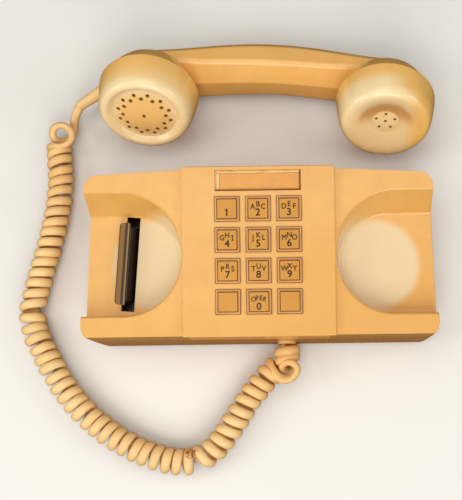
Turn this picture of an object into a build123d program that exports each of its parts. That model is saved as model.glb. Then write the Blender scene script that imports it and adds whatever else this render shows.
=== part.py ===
from build123d import *
import os
from math import cos, pi, radians, sin, sqrt, tan

# Push-button cradle telephone, millimetres.
# Origin: centre of the base on the surface it stands on. +X right, +Y rear, +Z up.

os.makedirs("parts", exist_ok=True)

# ---------------------------------------------------------------- driving sizes
wall = 2.6                  # moulded wall of the base housing
gap = 0.3                   # clearance between pieces that move past each other
running_gap = 0.05          # radial clearance of a pin or a guided stem

foot_height = 2.2           # rubber feet, below the steel baseplate
plate_gauge = 1.4           # sheet of the baseplate
front_y = -53.6             # front of the base at its foot
front_draft = 3.1           # the front face leans back by this much over its height
rear_y = 50.9               # rear face of the base
rear_sweep = 2.9            # the rear face comes forward by this much at each end
half_width = 111.6          # half the width at the front
end_taper = 3.7             # each end draws in by this much towards the rear
front_corner = 10.0
rear_corner = 9.0

rise = 10.0                 # slope of the faceplate, rising to the rear, degrees
face_y = -2.0               # the middle of the keypad
face_z = 50.8
face_gauge = 3.0            # the faceplate stands this proud of the wings
face_half = 47.0
face_front = -50.0          # ends of the faceplate, along its slope
face_rear = 54.9

seat_slope = 6.2            # slope of the cradle floors, degrees
seat_front_y = -38.5        # front wall of both cradles
seat_front_z = 27.4         # floor level there
seat_inner = 48.2           # inner wall of both cradles, from the middle
rim_radius = 38.0           # cradle at its rim
seat_radius = 32.6          # cradle at its floor
seat_fillet = 3.0
rim_round = 2.0

key_pitch = 19.05
key_hole = 15.4
key_top = 11.6
key_travel = 2.6
stem_radius = 3.0
board_gauge = 1.6           # both circuit boards

window_width = 53.0
window_height = 12.9
window_y = 46.0             # card window's middle, along the faceplate

slot_length = 60.0          # hook-switch slot in the left cradle floor
slot_width = 8.5
slot_inset = 28.65          # slot's middle, in from the left end of the base
slot_y = 34.9               # along the cradle floor, from its front wall
slot_skew = 3.9             # the slot turns with the tapered end, degrees
hook_travel = 22.0          # degrees that the hook lever turns when it is pressed

handset_lean = 27.0         # the handset lies on its side, caps looking up by this much
handset_yaw = -2.96
half_spacing = 78.1         # middle of the handset to each cap's axis
cap_radius = 32.5           # widest ring of both caps
cap_height = 23.0           # ring to lip
rest_clearance = 0.1        # handset above the surface
handset_x = 3.9
handset_y = 107.6

wire_diameter = 5.5
coil_diameter = 17.6

bell_inset = 29.6           # the bell's axis, in from the right end of the base
core_reach = 39.5           # from the bell's axis to its electromagnet's
coil_radius = 7.0           # the electromagnet's winding
board_clearance = 3.5       # from the winding to the network board

face_plane = Plane(
    origin=(0, face_y, face_z),
    x_dir=(1, 0, 0),
    z_dir=(0, -sin(radians(rise)), cos(radians(rise))),
)
wing_plane = face_plane.offset(-face_gauge)
seat_plane = Plane(
    origin=(0, seat_front_y, seat_front_z),
    x_dir=(1, 0, 0),
    z_dir=(0, -sin(radians(seat_slope)), cos(radians(seat_slope))),
)


def wing_z(y):
    """Height of the wings' top surface."""
    return face_z - face_gauge / cos(radians(rise)) + (y - face_y) * tan(radians(rise))


def seat_z(y):
    """Height of the cradle floors."""
    return seat_front_z + (y - seat_front_y) * tan(radians(seat_slope))


# ---------------------------------------------------------------- base housing
housing_bottom = 2.0
housing_top = 80.0


def base_block(inset, bottom):
    """The outer form of the base, drawn in by inset all round, from bottom up."""
    front_top = front_y + front_draft
    with BuildPart() as block:
        with BuildSketch(Plane.YZ):
            with BuildLine():
                Polyline(
                    (front_y + inset, bottom),
                    (front_top + inset, wing_z(front_top) - inset),
                    (rear_y - inset, wing_z(rear_y) - inset),
                    (rear_y - inset, bottom),
                    close=True,
                )
            make_face()
        extrude(amount=half_width + 1, both=True)
        with BuildSketch(Plane.XY):
            with BuildLine():
                Polyline(
                    (-half_width + inset, front_y + inset),
                    (half_width - inset, front_y + inset),
                    (half_width - end_taper - inset, rear_y - rear_sweep - inset),
                    (face_half, rear_y - inset),
                    (-face_half, rear_y - inset),
                    (-half_width + end_taper + inset, rear_y - rear_sweep - inset),
                    close=True,
                )
            face = make_face()
            front_ends = face.vertices().group_by(Axis.Y)[0]
            fillet(front_ends, front_corner - inset)
            outer_ends = vertices().filter_by(
                lambda v: abs(v.X) > half_width - end_taper - inset - 1 and v.Y > 0
            ).group_by(Axis.Y)[-1]
            fillet(outer_ends, rear_corner - inset)
        extrude(amount=housing_top, mode=Mode.INTERSECT)
    return block.part


def cradle_block(side, grow):
    """What one cradle takes out of the base, grown by grow all round and downwards."""
    rim_r = rim_radius + grow
    seat_r = seat_radius + grow
    rim_y = (seat_front_y + rim_radius - face_y) / cos(radians(rise))
    seat_y = seat_radius / cos(radians(seat_slope))
    rim_x = seat_inner + rim_radius
    seat_x = seat_inner + seat_radius
    reach = half_width + 8
    with BuildPart() as block:
        for plane, x, y, r in (
            (seat_plane.offset(-grow), seat_x, seat_y, seat_r),
            (wing_plane, rim_x, rim_y, rim_r),
        ):
            with BuildSketch(plane):
                with BuildLine():
                    ThreePointArc(
                        (side * x, y + r), (side * (x - r), y), (side * x, y - r)
                    )
                    Polyline(
                        (side * x, y - r),
                        (side * reach, y - r),
                        (side * reach, y + r),
                        (side * x, y + r),
                    )
                make_face()
        loft()
        extrude(faces().sort_by(Axis.Z)[-1], amount=12, dir=(0, 0, 1))
        if grow == 0:
            fillet(faces().sort_by(Axis.Z)[0].edges(), seat_fillet)
    return block.part


boss_radius = 4.0
screw_radius = 1.5
boss_x = face_half + 5
boss_inset = 9.6
boss_rear_y = rear_y - boss_inset
boss_front_y = front_y + boss_inset
boss_places = [(side * boss_x, y) for side in (-1, 1) for y in (boss_rear_y, boss_front_y)]
screw_reach = 12.0
plate_top = foot_height + plate_gauge

# the hook mechanism's own frame: on the cradle floor, x across the slot, y along it
slot_x = slot_inset - half_width
skew = radians(slot_skew)
hook_plane = Plane(
    origin=seat_plane.from_local_coords((slot_x, slot_y, 0)),
    x_dir=seat_plane.x_dir * cos(skew) - seat_plane.y_dir * sin(skew),
    z_dir=seat_plane.z_dir,
)
hook_side = Plane(
    origin=hook_plane.origin, x_dir=hook_plane.x_dir, z_dir=-hook_plane.y_dir
)
pivot_x = -15.0             # hook lever's pin, across the slot and below the floor
pivot_z = -6.5
peg_radius = 1.5            # pegs under the floor that the hook bracket is staked to
peg_length = 2.4
peg_y = 29.4

with BuildPart() as cavity:
    add(base_block(wall, 0))
    for side in (-1, 1):
        add(cradle_block(side, wall), mode=Mode.SUBTRACT)
    with BuildSketch(Plane.XY.offset(plate_top)):
        with Locations(*boss_places):
            Circle(boss_radius)
    extrude(amount=housing_top, mode=Mode.SUBTRACT)
    with BuildSketch(hook_plane):
        with Locations((pivot_x, peg_y), (pivot_x, -peg_y)):
            Circle(peg_radius)
    extrude(amount=-wall - peg_length, mode=Mode.SUBTRACT)

post_x = 30.5               # posts that carry the keypad under the faceplate
post_y = 35.5
opening_width = 2 * post_x + 8
opening_length = 2 * post_y + 8
gland_x = 15.2
gland_z = 9.0
gland_radius = 4.6
inlet_x = 60.0
inlet_z = 12.0
inlet_radius = 3.2          # line cord inlet, through its grommet
grommet_radius = 5.5

front_top_y = front_y + front_draft
front_lean = front_draft / (wing_z(front_top_y) - housing_bottom)


def front_face_y(z):
    """The leaning front face of the housing at height z."""
    return front_top_y - (wing_z(front_top_y) - z) * front_lean


gland_plane = Plane(
    origin=(gland_x, front_face_y(gland_z), gland_z),
    x_dir=(1, 0, 0),
    z_dir=(0, -1, front_lean),
)
sweep_slope = rear_sweep / (half_width - end_taper - face_half)
inlet_plane = Plane(
    origin=(inlet_x, rear_y - (inlet_x - face_half) * sweep_slope, inlet_z),
    x_dir=(-1, sweep_slope, 0),
    z_dir=(sweep_slope, 1, 0),
)



def is_cradle_rim(edge):
    """Whether an edge bounds a cradle on the wings' top surface, clear of the rounded ends."""
    on_wing = all(abs(wing_plane.to_local_coords(edge @ t).Z) < 0.05 for t in (0, 0.5, 1))
    middle = edge.center()
    inside = seat_inner - 1 < abs(middle.X) < half_width - 2 * wall
    return on_wing and inside and front_y + front_corner < middle.Y < rear_y - rear_corner


with BuildPart() as housing:
    add(base_block(0, housing_bottom))
    for side in (-1, 1):
        add(cradle_block(side, 0), mode=Mode.SUBTRACT)
    add(cavity.part, mode=Mode.SUBTRACT)
    with BuildSketch(wing_plane):
        Rectangle(opening_width, opening_length)
    extrude(amount=2 * wall, both=True, mode=Mode.SUBTRACT)
    with BuildSketch(hook_plane):
        Rectangle(slot_width, slot_length)
    extrude(amount=2 * wall, both=True, mode=Mode.SUBTRACT)
    with BuildSketch(gland_plane):
        Circle(gland_radius)
    extrude(amount=2 * wall, both=True, mode=Mode.SUBTRACT)
    with BuildSketch(inlet_plane):
        Circle(grommet_radius)
    extrude(amount=2 * wall, both=True, mode=Mode.SUBTRACT)
    with BuildSketch(Plane.XY.offset(plate_top)):
        with Locations(*boss_places):
            Circle(screw_radius)
    extrude(amount=screw_reach, mode=Mode.SUBTRACT)
    fillet(housing.edges().filter_by(is_cradle_rim), rim_round)
housing.part.label = "housing"
export_step(housing.part, "parts/housing.step")

# ---------------------------------------------------------------- baseplate, feet, screws
foot_radius = 6.5
foot_end_inset = 21.6
foot_front_inset = 13.6
foot_rear_inset = 14.9
foot_places = [
    (side * (half_width - inset), y)
    for side in (-1, 1)
    for inset, y in (
        (foot_end_inset + 2, rear_y - foot_rear_inset),
        (foot_end_inset, front_y + foot_front_inset),
    )
]
head_radius = 3.0
head_height = 1.4
vent_pitch = 12.0
vent_row = 9.0
vent_length = 8.0
vent_width = 2.4

with BuildPart() as baseplate:
    add(base_block(wall + gap, foot_height))
    with BuildSketch(Plane.XY.offset(foot_height)):
        Rectangle(3 * half_width, 3 * half_width)
    extrude(amount=plate_gauge, mode=Mode.INTERSECT)
    with BuildSketch(Plane.XY.offset(foot_height)):
        with Locations(*boss_places):
            Circle(screw_radius + gap)
        with GridLocations(vent_pitch, vent_row, 8, 2):
            SlotOverall(vent_length, vent_width, rotation=90)
    extrude(amount=plate_gauge, mode=Mode.SUBTRACT)
baseplate.part.label = "baseplate"
export_step(baseplate.part, "parts/baseplate.step")

with BuildPart() as rubber_feet:
    with BuildSketch():
        with Locations(*foot_places):
            Circle(foot_radius)
    extrude(amount=foot_height)
    chamfer(rubber_feet.edges().group_by(Axis.Z)[0], 0.5)
rubber_feet.part.label = "rubber_feet"
export_step(rubber_feet.part, "parts/rubber_feet.step")

with BuildPart() as baseplate_screws:
    with BuildSketch(Plane.XY.offset(foot_height - head_height)):
        with Locations(*boss_places):
            Circle(head_radius)
    extrude(amount=head_height)
    chamfer(baseplate_screws.edges().group_by(Axis.Z)[0], 0.4)
    with BuildSketch(Plane.XY.offset(foot_height)):
        with Locations(*boss_places):
            Circle(screw_radius - running_gap)
    extrude(amount=plate_gauge + screw_reach - 2)
baseplate_screws.part.label = "baseplate_screws"
export_step(baseplate_screws.part, "parts/baseplate_screws.step")

# ---------------------------------------------------------------- faceplate and card
apron_half = 43.5
apron_gauge = 1.5
apron_drop = 5.0
pocket_depth = 1.5
card_gauge = 0.3
window_gauge = 0.9
flange_gauge = 1.6
flange_top = -face_gauge - gap
spring_room = 2.0           # rubber return springs under the keys
module_top = flange_top - flange_gauge - key_travel - spring_room
face_length = face_rear - face_front
face_middle = (face_front + face_rear) / 2
apron_top = wing_z(front_top_y)
apron_foot = apron_top - apron_drop

with BuildPart() as faceplate:
    with BuildSketch(wing_plane):
        with Locations((0, face_middle)):
            Rectangle(2 * face_half, face_length)
    extrude(amount=face_gauge)
    fillet(faceplate.faces().sort_by(Axis.Z)[-1].edges(), 0.8)
    with BuildSketch(Plane.YZ):
        with BuildLine():
            Polyline(
                (front_face_y(apron_foot) - 0.1, apron_foot),
                (front_face_y(apron_top) - 0.1, apron_top),
                (front_face_y(apron_top) - 0.1, apron_top + 1.5),
                (front_face_y(apron_top) - 0.75, apron_top + 1.5),
                (front_face_y(apron_foot) - apron_gauge, apron_foot + 1.0),
                (front_face_y(apron_foot) - apron_gauge, apron_foot),
                close=True,
            )
        make_face()
    extrude(amount=apron_half, both=True)
    with BuildSketch(Plane.YZ):
        with BuildLine():
            Polyline(
                (rear_y + 0.1, wing_z(rear_y) - apron_drop),
                (rear_y + 0.1, wing_z(rear_y) + 1.5),
                (rear_y + 1.1, wing_z(rear_y) + 1.5),
                (rear_y + 1.1, wing_z(rear_y) - apron_drop),
                close=True,
            )
        make_face()
    extrude(amount=apron_half, both=True)
    with BuildSketch(face_plane):
        with GridLocations(key_pitch, key_pitch, 3, 4):
            RectangleRounded(key_hole, key_hole, 0.8)
    extrude(amount=-face_gauge, mode=Mode.SUBTRACT)
    with BuildSketch(face_plane):
        with Locations((0, window_y)):
            Rectangle(window_width, window_height)
    extrude(amount=-pocket_depth, mode=Mode.SUBTRACT)
    with BuildSketch(wing_plane):
        with GridLocations(2 * post_x, 2 * post_y, 2, 2):
            Circle(2.6)
    extrude(amount=module_top + face_gauge)
    with BuildSketch(face_plane.offset(module_top)):
        with GridLocations(2 * post_x, 2 * post_y, 2, 2):
            Circle(1.2)
    extrude(amount=5, mode=Mode.SUBTRACT)
faceplate.part.label = "faceplate"
export_step(faceplate.part, "parts/faceplate.step")

with BuildPart() as number_card:
    with BuildSketch(face_plane.offset(-pocket_depth)):
        with Locations((0, window_y)):
            Rectangle(window_width - gap, window_height - gap)
    extrude(amount=card_gauge)
number_card.part.label = "number_card"
export_step(number_card.part, "parts/number_card.step")

with BuildPart() as card_window:
    with BuildSketch(face_plane.offset(card_gauge - pocket_depth)):
        with Locations((0, window_y)):
            Rectangle(window_width - gap, window_height - gap)
    extrude(amount=window_gauge)
card_window.part.label = "card_window"
export_step(card_window.part, "parts/card_window.step")

# ---------------------------------------------------------------- twelve keys
key_body = key_hole - 2 * gap
flange_size = 16.4
rim_level = 0.5
bevel_height = 1.0
bevel_size = key_top + 1.1
groove_depth = 0.7
pad_level = 1.9
stem_foot = -13.0
key_names = [
    ["blank_left", "0", "blank_right"],
    ["7", "8", "9"],
    ["4", "5", "6"],
    ["1", "2", "3"],
]

for row in range(4):
    for column in range(3):
        place = ((column - 1) * key_pitch, (row - 1.5) * key_pitch)
        key_name = "key_" + key_names[row][column]
        with BuildPart() as key:
            with BuildSketch(face_plane.offset(flange_top - flange_gauge)):
                with Locations(place):
                    Rectangle(flange_size, flange_size)
            extrude(amount=flange_gauge)
            with BuildSketch(face_plane.offset(flange_top)):
                with Locations(place):
                    RectangleRounded(key_body, key_body, 0.6)
            extrude(amount=rim_level - flange_top)
            with BuildSketch(face_plane.offset(rim_level)):
                with Locations(place):
                    Rectangle(key_body - 1.2, key_body - 1.2)
            with BuildSketch(face_plane.offset(rim_level + bevel_height)):
                with Locations(place):
                    Rectangle(bevel_size, bevel_size)
            loft()
            with BuildSketch(face_plane.offset(rim_level + bevel_height)):
                with Locations(place):
                    Rectangle(key_top + 0.7, key_top + 0.7)
                    Rectangle(key_top, key_top, mode=Mode.SUBTRACT)
            extrude(amount=-groove_depth, mode=Mode.SUBTRACT)
            with BuildSketch(face_plane.offset(rim_level + bevel_height)):
                with Locations(place):
                    Rectangle(key_top, key_top)
            extrude(amount=pad_level - rim_level - bevel_height)
            with BuildSketch(face_plane.offset(stem_foot)):
                with Locations(place):
                    Circle(stem_radius)
            extrude(amount=flange_top - flange_gauge - stem_foot)
        key.part.label = key_name
        export_step(key.part, f"parts/{key_name}.step")

# ---------------------------------------------------------------- keypad module and board
module_depth = 9.5
module_width = 2 * post_x + 6.5
module_length = 2 * post_y + 6.5
well_depth = module_top - stem_foot + key_travel + 2 * gap

with BuildPart() as keypad_module:
    with BuildSketch(face_plane.offset(module_top)):
        Rectangle(module_width, module_length)
        with GridLocations(2 * post_x, 2 * post_y, 2, 2):
            Circle(1.3, mode=Mode.SUBTRACT)
    extrude(amount=-module_depth)
    with BuildSketch(face_plane.offset(module_top)):
        with GridLocations(key_pitch, key_pitch, 3, 4):
            Circle(stem_radius + running_gap)
    extrude(amount=-well_depth, mode=Mode.SUBTRACT)
    outer_edges = keypad_module.edges().filter_by(Axis((0, 0, 0), face_plane.z_dir))
    chamfer(outer_edges.group_by(Axis.X)[0] + outer_edges.group_by(Axis.X)[-1], 1.0)
keypad_module.part.label = "keypad_module"
export_step(keypad_module.part, "parts/keypad_module.step")

screw_head = 2.2
with BuildPart() as keypad_board:
    with BuildSketch(face_plane.offset(module_top - module_depth)):
        Rectangle(2 * (post_x - screw_head - gap), module_length - 4)
    extrude(amount=-board_gauge)
keypad_board.part.label = "keypad_board"
export_step(keypad_board.part, "parts/keypad_board.step")

tone_coil_radius = 9.0
tone_coil_height = 7.0
tone_coil_x = tone_coil_radius + 4
tone_coil_y = 22.0
coil_seat = face_plane.offset(module_top - module_depth - board_gauge)
with BuildPart() as tone_coils:
    with BuildSketch(coil_seat):
        with Locations((-tone_coil_x, tone_coil_y), (tone_coil_x, tone_coil_y)):
            Circle(tone_coil_radius)
    extrude(amount=-tone_coil_height)
    chamfer(tone_coils.edges().group_by(Axis.Z)[0], 0.8)
tone_coils.part.label = "tone_coils"
export_step(tone_coils.part, "parts/tone_coils.step")

with BuildPart() as keypad_screws:
    with BuildSketch(face_plane.offset(module_top - module_depth)):
        with GridLocations(2 * post_x, 2 * post_y, 2, 2):
            Circle(screw_head)
    extrude(amount=-1.5)
    with BuildSketch(face_plane.offset(module_top - module_depth)):
        with GridLocations(2 * post_x, 2 * post_y, 2, 2):
            Circle(1.15)
    extrude(amount=module_depth + 4)
keypad_screws.part.label = "keypad_screws"
export_step(keypad_screws.part, "parts/keypad_screws.step")

# ---------------------------------------------------------------- hook switch
paddle_length = 51.5
paddle_width = 9.4
paddle_middle = -3.0
paddle_corner = 2.8
skirt_length = 47.0
skirt_inner = 15.4          # the lever's curved skirt, from the pivot
skirt_outer = 17.6
skirt_cover = 26.0          # degrees of it that stay in the slot when the lever is down
skirt_top = skirt_cover + hook_travel
skirt_foot = -16.0
arm_half = 1.1
arm_width = 8.0
arm_y = 14.0
hub_radius = 3.0
pin_radius = 1.5
hub_length = 40.0
ear_gauge = 1.4
ear_inner = 24.3
ear_left = -19.0
ear_right = -10.5
ear_foot = -10.0
pin_overhang = 1.3


def around_pivot(radius, angle):
    """A point at a radius and an angle, degrees, from the hook lever's pin."""
    a = radians(angle)
    return (pivot_x + radius * cos(a), pivot_z + radius * sin(a))


skirt_middle = (skirt_top + skirt_foot) / 2
with BuildPart() as hook_lever:
    with BuildSketch(hook_side):
        with BuildLine():
            Polyline((-7.7, 5.4), (-1.2, 8.7), (0.1, 6.2), (-6.2, 3.4), close=True)
        make_face()
        fillet(vertices(), 0.6)
    extrude(amount=paddle_length / 2, both=True)
    with BuildSketch(hook_plane):
        with Locations((paddle_middle, 0)):
            RectangleRounded(paddle_width, paddle_length, paddle_corner)
    extrude(amount=2 * skirt_outer, mode=Mode.INTERSECT)
    with BuildSketch(hook_side):
        with BuildLine():
            ThreePointArc(
                around_pivot(skirt_outer, skirt_top),
                around_pivot(skirt_outer, skirt_middle),
                around_pivot(skirt_outer, skirt_foot),
            )
            Line(around_pivot(skirt_outer, skirt_foot), around_pivot(skirt_inner, skirt_foot))
            ThreePointArc(
                around_pivot(skirt_inner, skirt_foot),
                around_pivot(skirt_inner, skirt_middle),
                around_pivot(skirt_inner, skirt_top),
            )
            Line(around_pivot(skirt_inner, skirt_top), around_pivot(skirt_outer, skirt_top))
        make_face()
    extrude(amount=skirt_length / 2, both=True)
    for arm in (-arm_y, arm_y):
        with BuildSketch(hook_side.offset(arm - arm_width / 2)):
            with Locations(around_pivot((skirt_inner + 1) / 2, skirt_foot + 4)):
                Rectangle(skirt_inner + 1, 2 * arm_half, rotation=skirt_foot + 4)
        extrude(amount=arm_width)
    with BuildSketch(hook_side):
        with Locations((pivot_x, pivot_z)):
            Circle(hub_radius)
    extrude(amount=hub_length / 2, both=True)
    with BuildSketch(hook_side):
        with Locations((pivot_x, pivot_z)):
            Circle(pin_radius + running_gap)
    extrude(amount=paddle_length, both=True, mode=Mode.SUBTRACT)
hook_lever.part.label = "hook_lever"
export_step(hook_lever.part, "parts/hook_lever.step")

ear_outer = ear_inner + ear_gauge
with BuildPart() as hook_pin:
    with BuildSketch(hook_side):
        with Locations((pivot_x, pivot_z)):
            Circle(pin_radius)
    extrude(amount=ear_outer + pin_overhang, both=True)
hook_pin.part.label = "hook_pin"
export_step(hook_pin.part, "parts/hook_pin.step")

flange_end = peg_y + 2.8
spine_gauge = 1.4
pile_half = 7.0
pile_foot = -18.0
with BuildPart() as hook_bracket:
    for ear in (-ear_outer, ear_inner):
        with BuildSketch(hook_side.offset(ear)):
            with BuildLine():
                Polyline(
                    (ear_left, -wall), (ear_right, -wall), (ear_right, ear_foot),
                    (ear_left, ear_foot), close=True,
                )
            make_face()
        extrude(amount=ear_gauge)
    with BuildSketch(hook_plane.offset(-wall)):
        for end in (-1, 1):
            with Locations(((ear_left + ear_right) / 2, end * (ear_outer + flange_end) / 2)):
                Rectangle(ear_right - ear_left, flange_end - ear_outer)
    extrude(amount=-ear_gauge)
    with BuildSketch(hook_plane.offset(-wall)):
        with Locations((ear_left - spine_gauge / 2, 0)):
            Rectangle(spine_gauge, 2 * ear_outer)
    extrude(amount=ear_foot + wall)
    with BuildSketch(hook_plane.offset(-wall)):
        with Locations((ear_left - spine_gauge / 2, 0)):
            Rectangle(spine_gauge, 2 * pile_half)
    extrude(amount=pile_foot + wall)
    with BuildSketch(hook_plane):
        with Locations((pivot_x, peg_y), (pivot_x, -peg_y)):
            Circle(peg_radius + running_gap)
    extrude(amount=-2 * wall, mode=Mode.SUBTRACT)
    with BuildSketch(hook_side):
        with Locations((pivot_x, pivot_z)):
            Circle(pin_radius)
    extrude(amount=paddle_length, both=True, mode=Mode.SUBTRACT)
hook_bracket.part.label = "hook_bracket"
export_step(hook_bracket.part, "parts/hook_bracket.step")

spring_wire = 0.35
spring_radius = pin_radius + spring_wire + 0.25
spring_span = ear_inner - hub_length / 2 - 2 * spring_wire - 2 * gap
spring_start = hook_side.from_local_coords((pivot_x, pivot_z, hub_length / 2 + gap + spring_wire))
with BuildPart() as hook_spring:
    with BuildLine() as spring_line:
        Helix(
            pitch=spring_span / 3,
            height=spring_span,
            radius=spring_radius,
            center=spring_start,
            direction=hook_side.z_dir,
        )
    with BuildSketch(Plane(origin=spring_line.line @ 0, z_dir=spring_line.line % 0)):
        RegularPolygon(spring_wire, 6)
    sweep(path=spring_line.line)
hook_spring.part.label = "hook_spring"
export_step(hook_spring.part, "parts/hook_spring.step")

leaf_gauge = 0.4
leaf_tip = -4.5
leaf_pitch = 2.2
leaf_overlap = 2.0
pile_level = -14.4
pile_width = 10.0
pile_height = 7.0
with BuildPart() as hook_contacts:
    with BuildSketch(hook_side):
        with Locations((ear_left + pile_width / 2, pile_level)):
            Rectangle(pile_width, pile_height)
    extrude(amount=pile_half - 1, both=True)
    leaf_root = ear_left + pile_width - leaf_overlap
    for step in (-1, 0, 1):
        with BuildSketch(hook_side):
            with Locations(((leaf_root + leaf_tip) / 2, pile_level + step * leaf_pitch)):
                Rectangle(leaf_tip - leaf_root, leaf_gauge)
        extrude(amount=2.0, both=True)
hook_contacts.part.label = "hook_contacts"
export_step(hook_contacts.part, "parts/hook_contacts.step")

# ---------------------------------------------------------------- network
gong_x = half_width - bell_inset
core_x = gong_x - core_reach
board_z = 8.0
board_width = 64.0
board_x = core_x - coil_radius - board_clearance - board_width / 2
board_length = 58.0

board_hole = 1.5            # spacers' pins through the board's corners
transformer_width = 24.0
transformer_length = 20.0
transformer_height = 16.0
transformer_place = (-12.0, 12.0)
winding_width = 15.0
winding_height = 11.0
winding_depth = 3.0
capacitor_length = 20.0
capacitor_width = 10.0
capacitor_height = 11.0
capacitor_places = [(14.0, 14.0), (14.0, -2.0)]
strip_length = 44.0
strip_width = 9.0
strip_height = 4.0
strip_y = -21.0
terminal_pitch = 7.0

board_plane = Plane(origin=(board_x, 0, board_z))
parts_plane = board_plane.offset(board_gauge)

with BuildPart() as network_board:
    with BuildSketch(board_plane):
        Rectangle(board_width, board_length)
        with GridLocations(board_width - 8, board_length - 8, 2, 2):
            Circle(board_hole + gap / 2, mode=Mode.SUBTRACT)
    extrude(amount=board_gauge)
network_board.part.label = "network_board"
export_step(network_board.part, "parts/network_board.step")

with BuildPart() as network_spacers:
    with BuildSketch(board_plane.offset(plate_top - board_z)):
        with GridLocations(board_width - 8, board_length - 8, 2, 2):
            Circle(2 * board_hole)
    extrude(amount=board_z - plate_top)
    with BuildSketch(board_plane):
        with GridLocations(board_width - 8, board_length - 8, 2, 2):
            Circle(board_hole)
    extrude(amount=board_gauge + 1)
network_spacers.part.label = "network_spacers"
export_step(network_spacers.part, "parts/network_spacers.step")

with BuildPart() as transformer:
    with BuildSketch(parts_plane):
        with Locations(transformer_place):
            Rectangle(transformer_width, transformer_length)
    extrude(amount=transformer_height)
    chamfer(transformer.edges().filter_by(Axis.Z), 1.0)
    with BuildSketch(parts_plane.offset((transformer_height - winding_height) / 2)):
        with Locations(transformer_place):
            Rectangle(winding_width, transformer_length + 2 * winding_depth)
    extrude(amount=winding_height)
transformer.part.label = "transformer"
export_step(transformer.part, "parts/transformer.step")

with BuildPart() as capacitors:
    with BuildSketch(parts_plane):
        with Locations(*capacitor_places):
            RectangleRounded(capacitor_length, capacitor_width, 2)
    extrude(amount=capacitor_height)
capacitors.part.label = "capacitors"
export_step(capacitors.part, "parts/capacitors.step")

with BuildPart() as terminal_strip:
    with BuildSketch(parts_plane):
        with Locations((0, strip_y)):
            Rectangle(strip_length, strip_width)
    extrude(amount=strip_height)
    with BuildSketch(parts_plane.offset(strip_height)):
        with Locations((0, strip_y)):
            with GridLocations(terminal_pitch, 1, 6, 1):
                Circle(0.3 * terminal_pitch)
    extrude(amount=board_gauge)
terminal_strip.part.label = "terminal_strip"
export_step(terminal_strip.part, "parts/terminal_strip.step")

# ---------------------------------------------------------------- ringer
gong_y = 2.0
gong_radius = 23.0
gong_mouth = 8.0
gong_height = 13.0
gong_gauge = 1.2
gong_post_radius = 3.0
gong_bore = 1.6
core_z = 12.5
core_radius = 2.5
frame_gauge = 1.2
frame_width = 20.0
frame_length = 52.0
frame_y = 8.0
cheek_front_y = -14.0
cheek_rear_y = 20.4
cheek_gauge = 1.6
cheek_width = 12.0
cheek_top = 20.0
clapper_x = core_x + 10.5
clapper_y = cheek_rear_y + 7.6
clapper_pin = 1.2
clapper_hub = 2.6
clapper_height = 10.0
armature_length = 11.0
armature_gauge = 2.0
armature_height = 6.0
rod_radius = 0.7
ball_radius = 2.2
ball_x = gong_x - gong_radius - ball_radius - 2.3
ball_y = gong_y + 2
ball_z = 10.5

gong_axis = Plane(origin=(gong_x, gong_y, 0), x_dir=(1, 0, 0), z_dir=(0, -1, 0))
with BuildPart() as ringer_gong:
    with BuildSketch(gong_axis):
        with BuildLine():
            Line((gong_radius - gong_gauge, gong_mouth), (gong_radius, gong_mouth))
            ThreePointArc(
                (gong_radius, gong_mouth),
                (gong_radius - 4.5, gong_mouth + gong_height - 4),
                (gong_radius - 14, gong_mouth + gong_height),
            )
            Polyline(
                (gong_radius - 14, gong_mouth + gong_height),
                (gong_bore, gong_mouth + gong_height),
                (gong_bore, gong_mouth + gong_height - gong_gauge),
                (gong_radius - 14, gong_mouth + gong_height - gong_gauge),
            )
            ThreePointArc(
                (gong_radius - 14, gong_mouth + gong_height - gong_gauge),
                (gong_radius - 5.4, gong_mouth + gong_height - 4.8),
                (gong_radius - gong_gauge, gong_mouth),
            )
        make_face()
    revolve(axis=Axis((gong_x, gong_y, 0), (0, 0, 1)))
ringer_gong.part.label = "ringer_gong"
export_step(ringer_gong.part, "parts/ringer_gong.step")

gong_seat = gong_mouth + gong_height - gong_gauge
with BuildPart() as gong_post:
    with BuildSketch(Plane.XY.offset(plate_top)):
        with Locations((gong_x, gong_y)):
            Circle(gong_post_radius)
    extrude(amount=gong_seat - plate_top)
    with BuildSketch(Plane.XY.offset(gong_seat)):
        with Locations((gong_x, gong_y)):
            Circle(gong_bore - running_gap)
    extrude(amount=gong_gauge)
    with BuildSketch(Plane.XY.offset(gong_seat + gong_gauge)):
        with Locations((gong_x, gong_y)):
            Circle(head_radius)
    extrude(amount=head_height)
gong_post.part.label = "gong_post"
export_step(gong_post.part, "parts/gong_post.step")

with BuildPart() as ringer_frame:
    with BuildSketch(Plane.XY.offset(plate_top)):
        with Locations((core_x + 3.5, frame_y)):
            Rectangle(frame_width, frame_length)
    extrude(amount=frame_gauge)
    for cheek in (cheek_front_y, cheek_rear_y):
        with BuildSketch(Plane.XZ.offset(-cheek)):
            with Locations((core_x, (plate_top + cheek_top) / 2)):
                Rectangle(cheek_width, cheek_top - plate_top)
            with Locations((core_x, core_z)):
                Circle(core_radius, mode=Mode.SUBTRACT)
        extrude(amount=-cheek_gauge)
    with BuildSketch(Plane.XY.offset(plate_top)):
        with Locations((clapper_x, clapper_y)):
            Circle(clapper_pin)
    extrude(amount=clapper_height + 4)
ringer_frame.part.label = "ringer_frame"
export_step(ringer_frame.part, "parts/ringer_frame.step")

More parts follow.
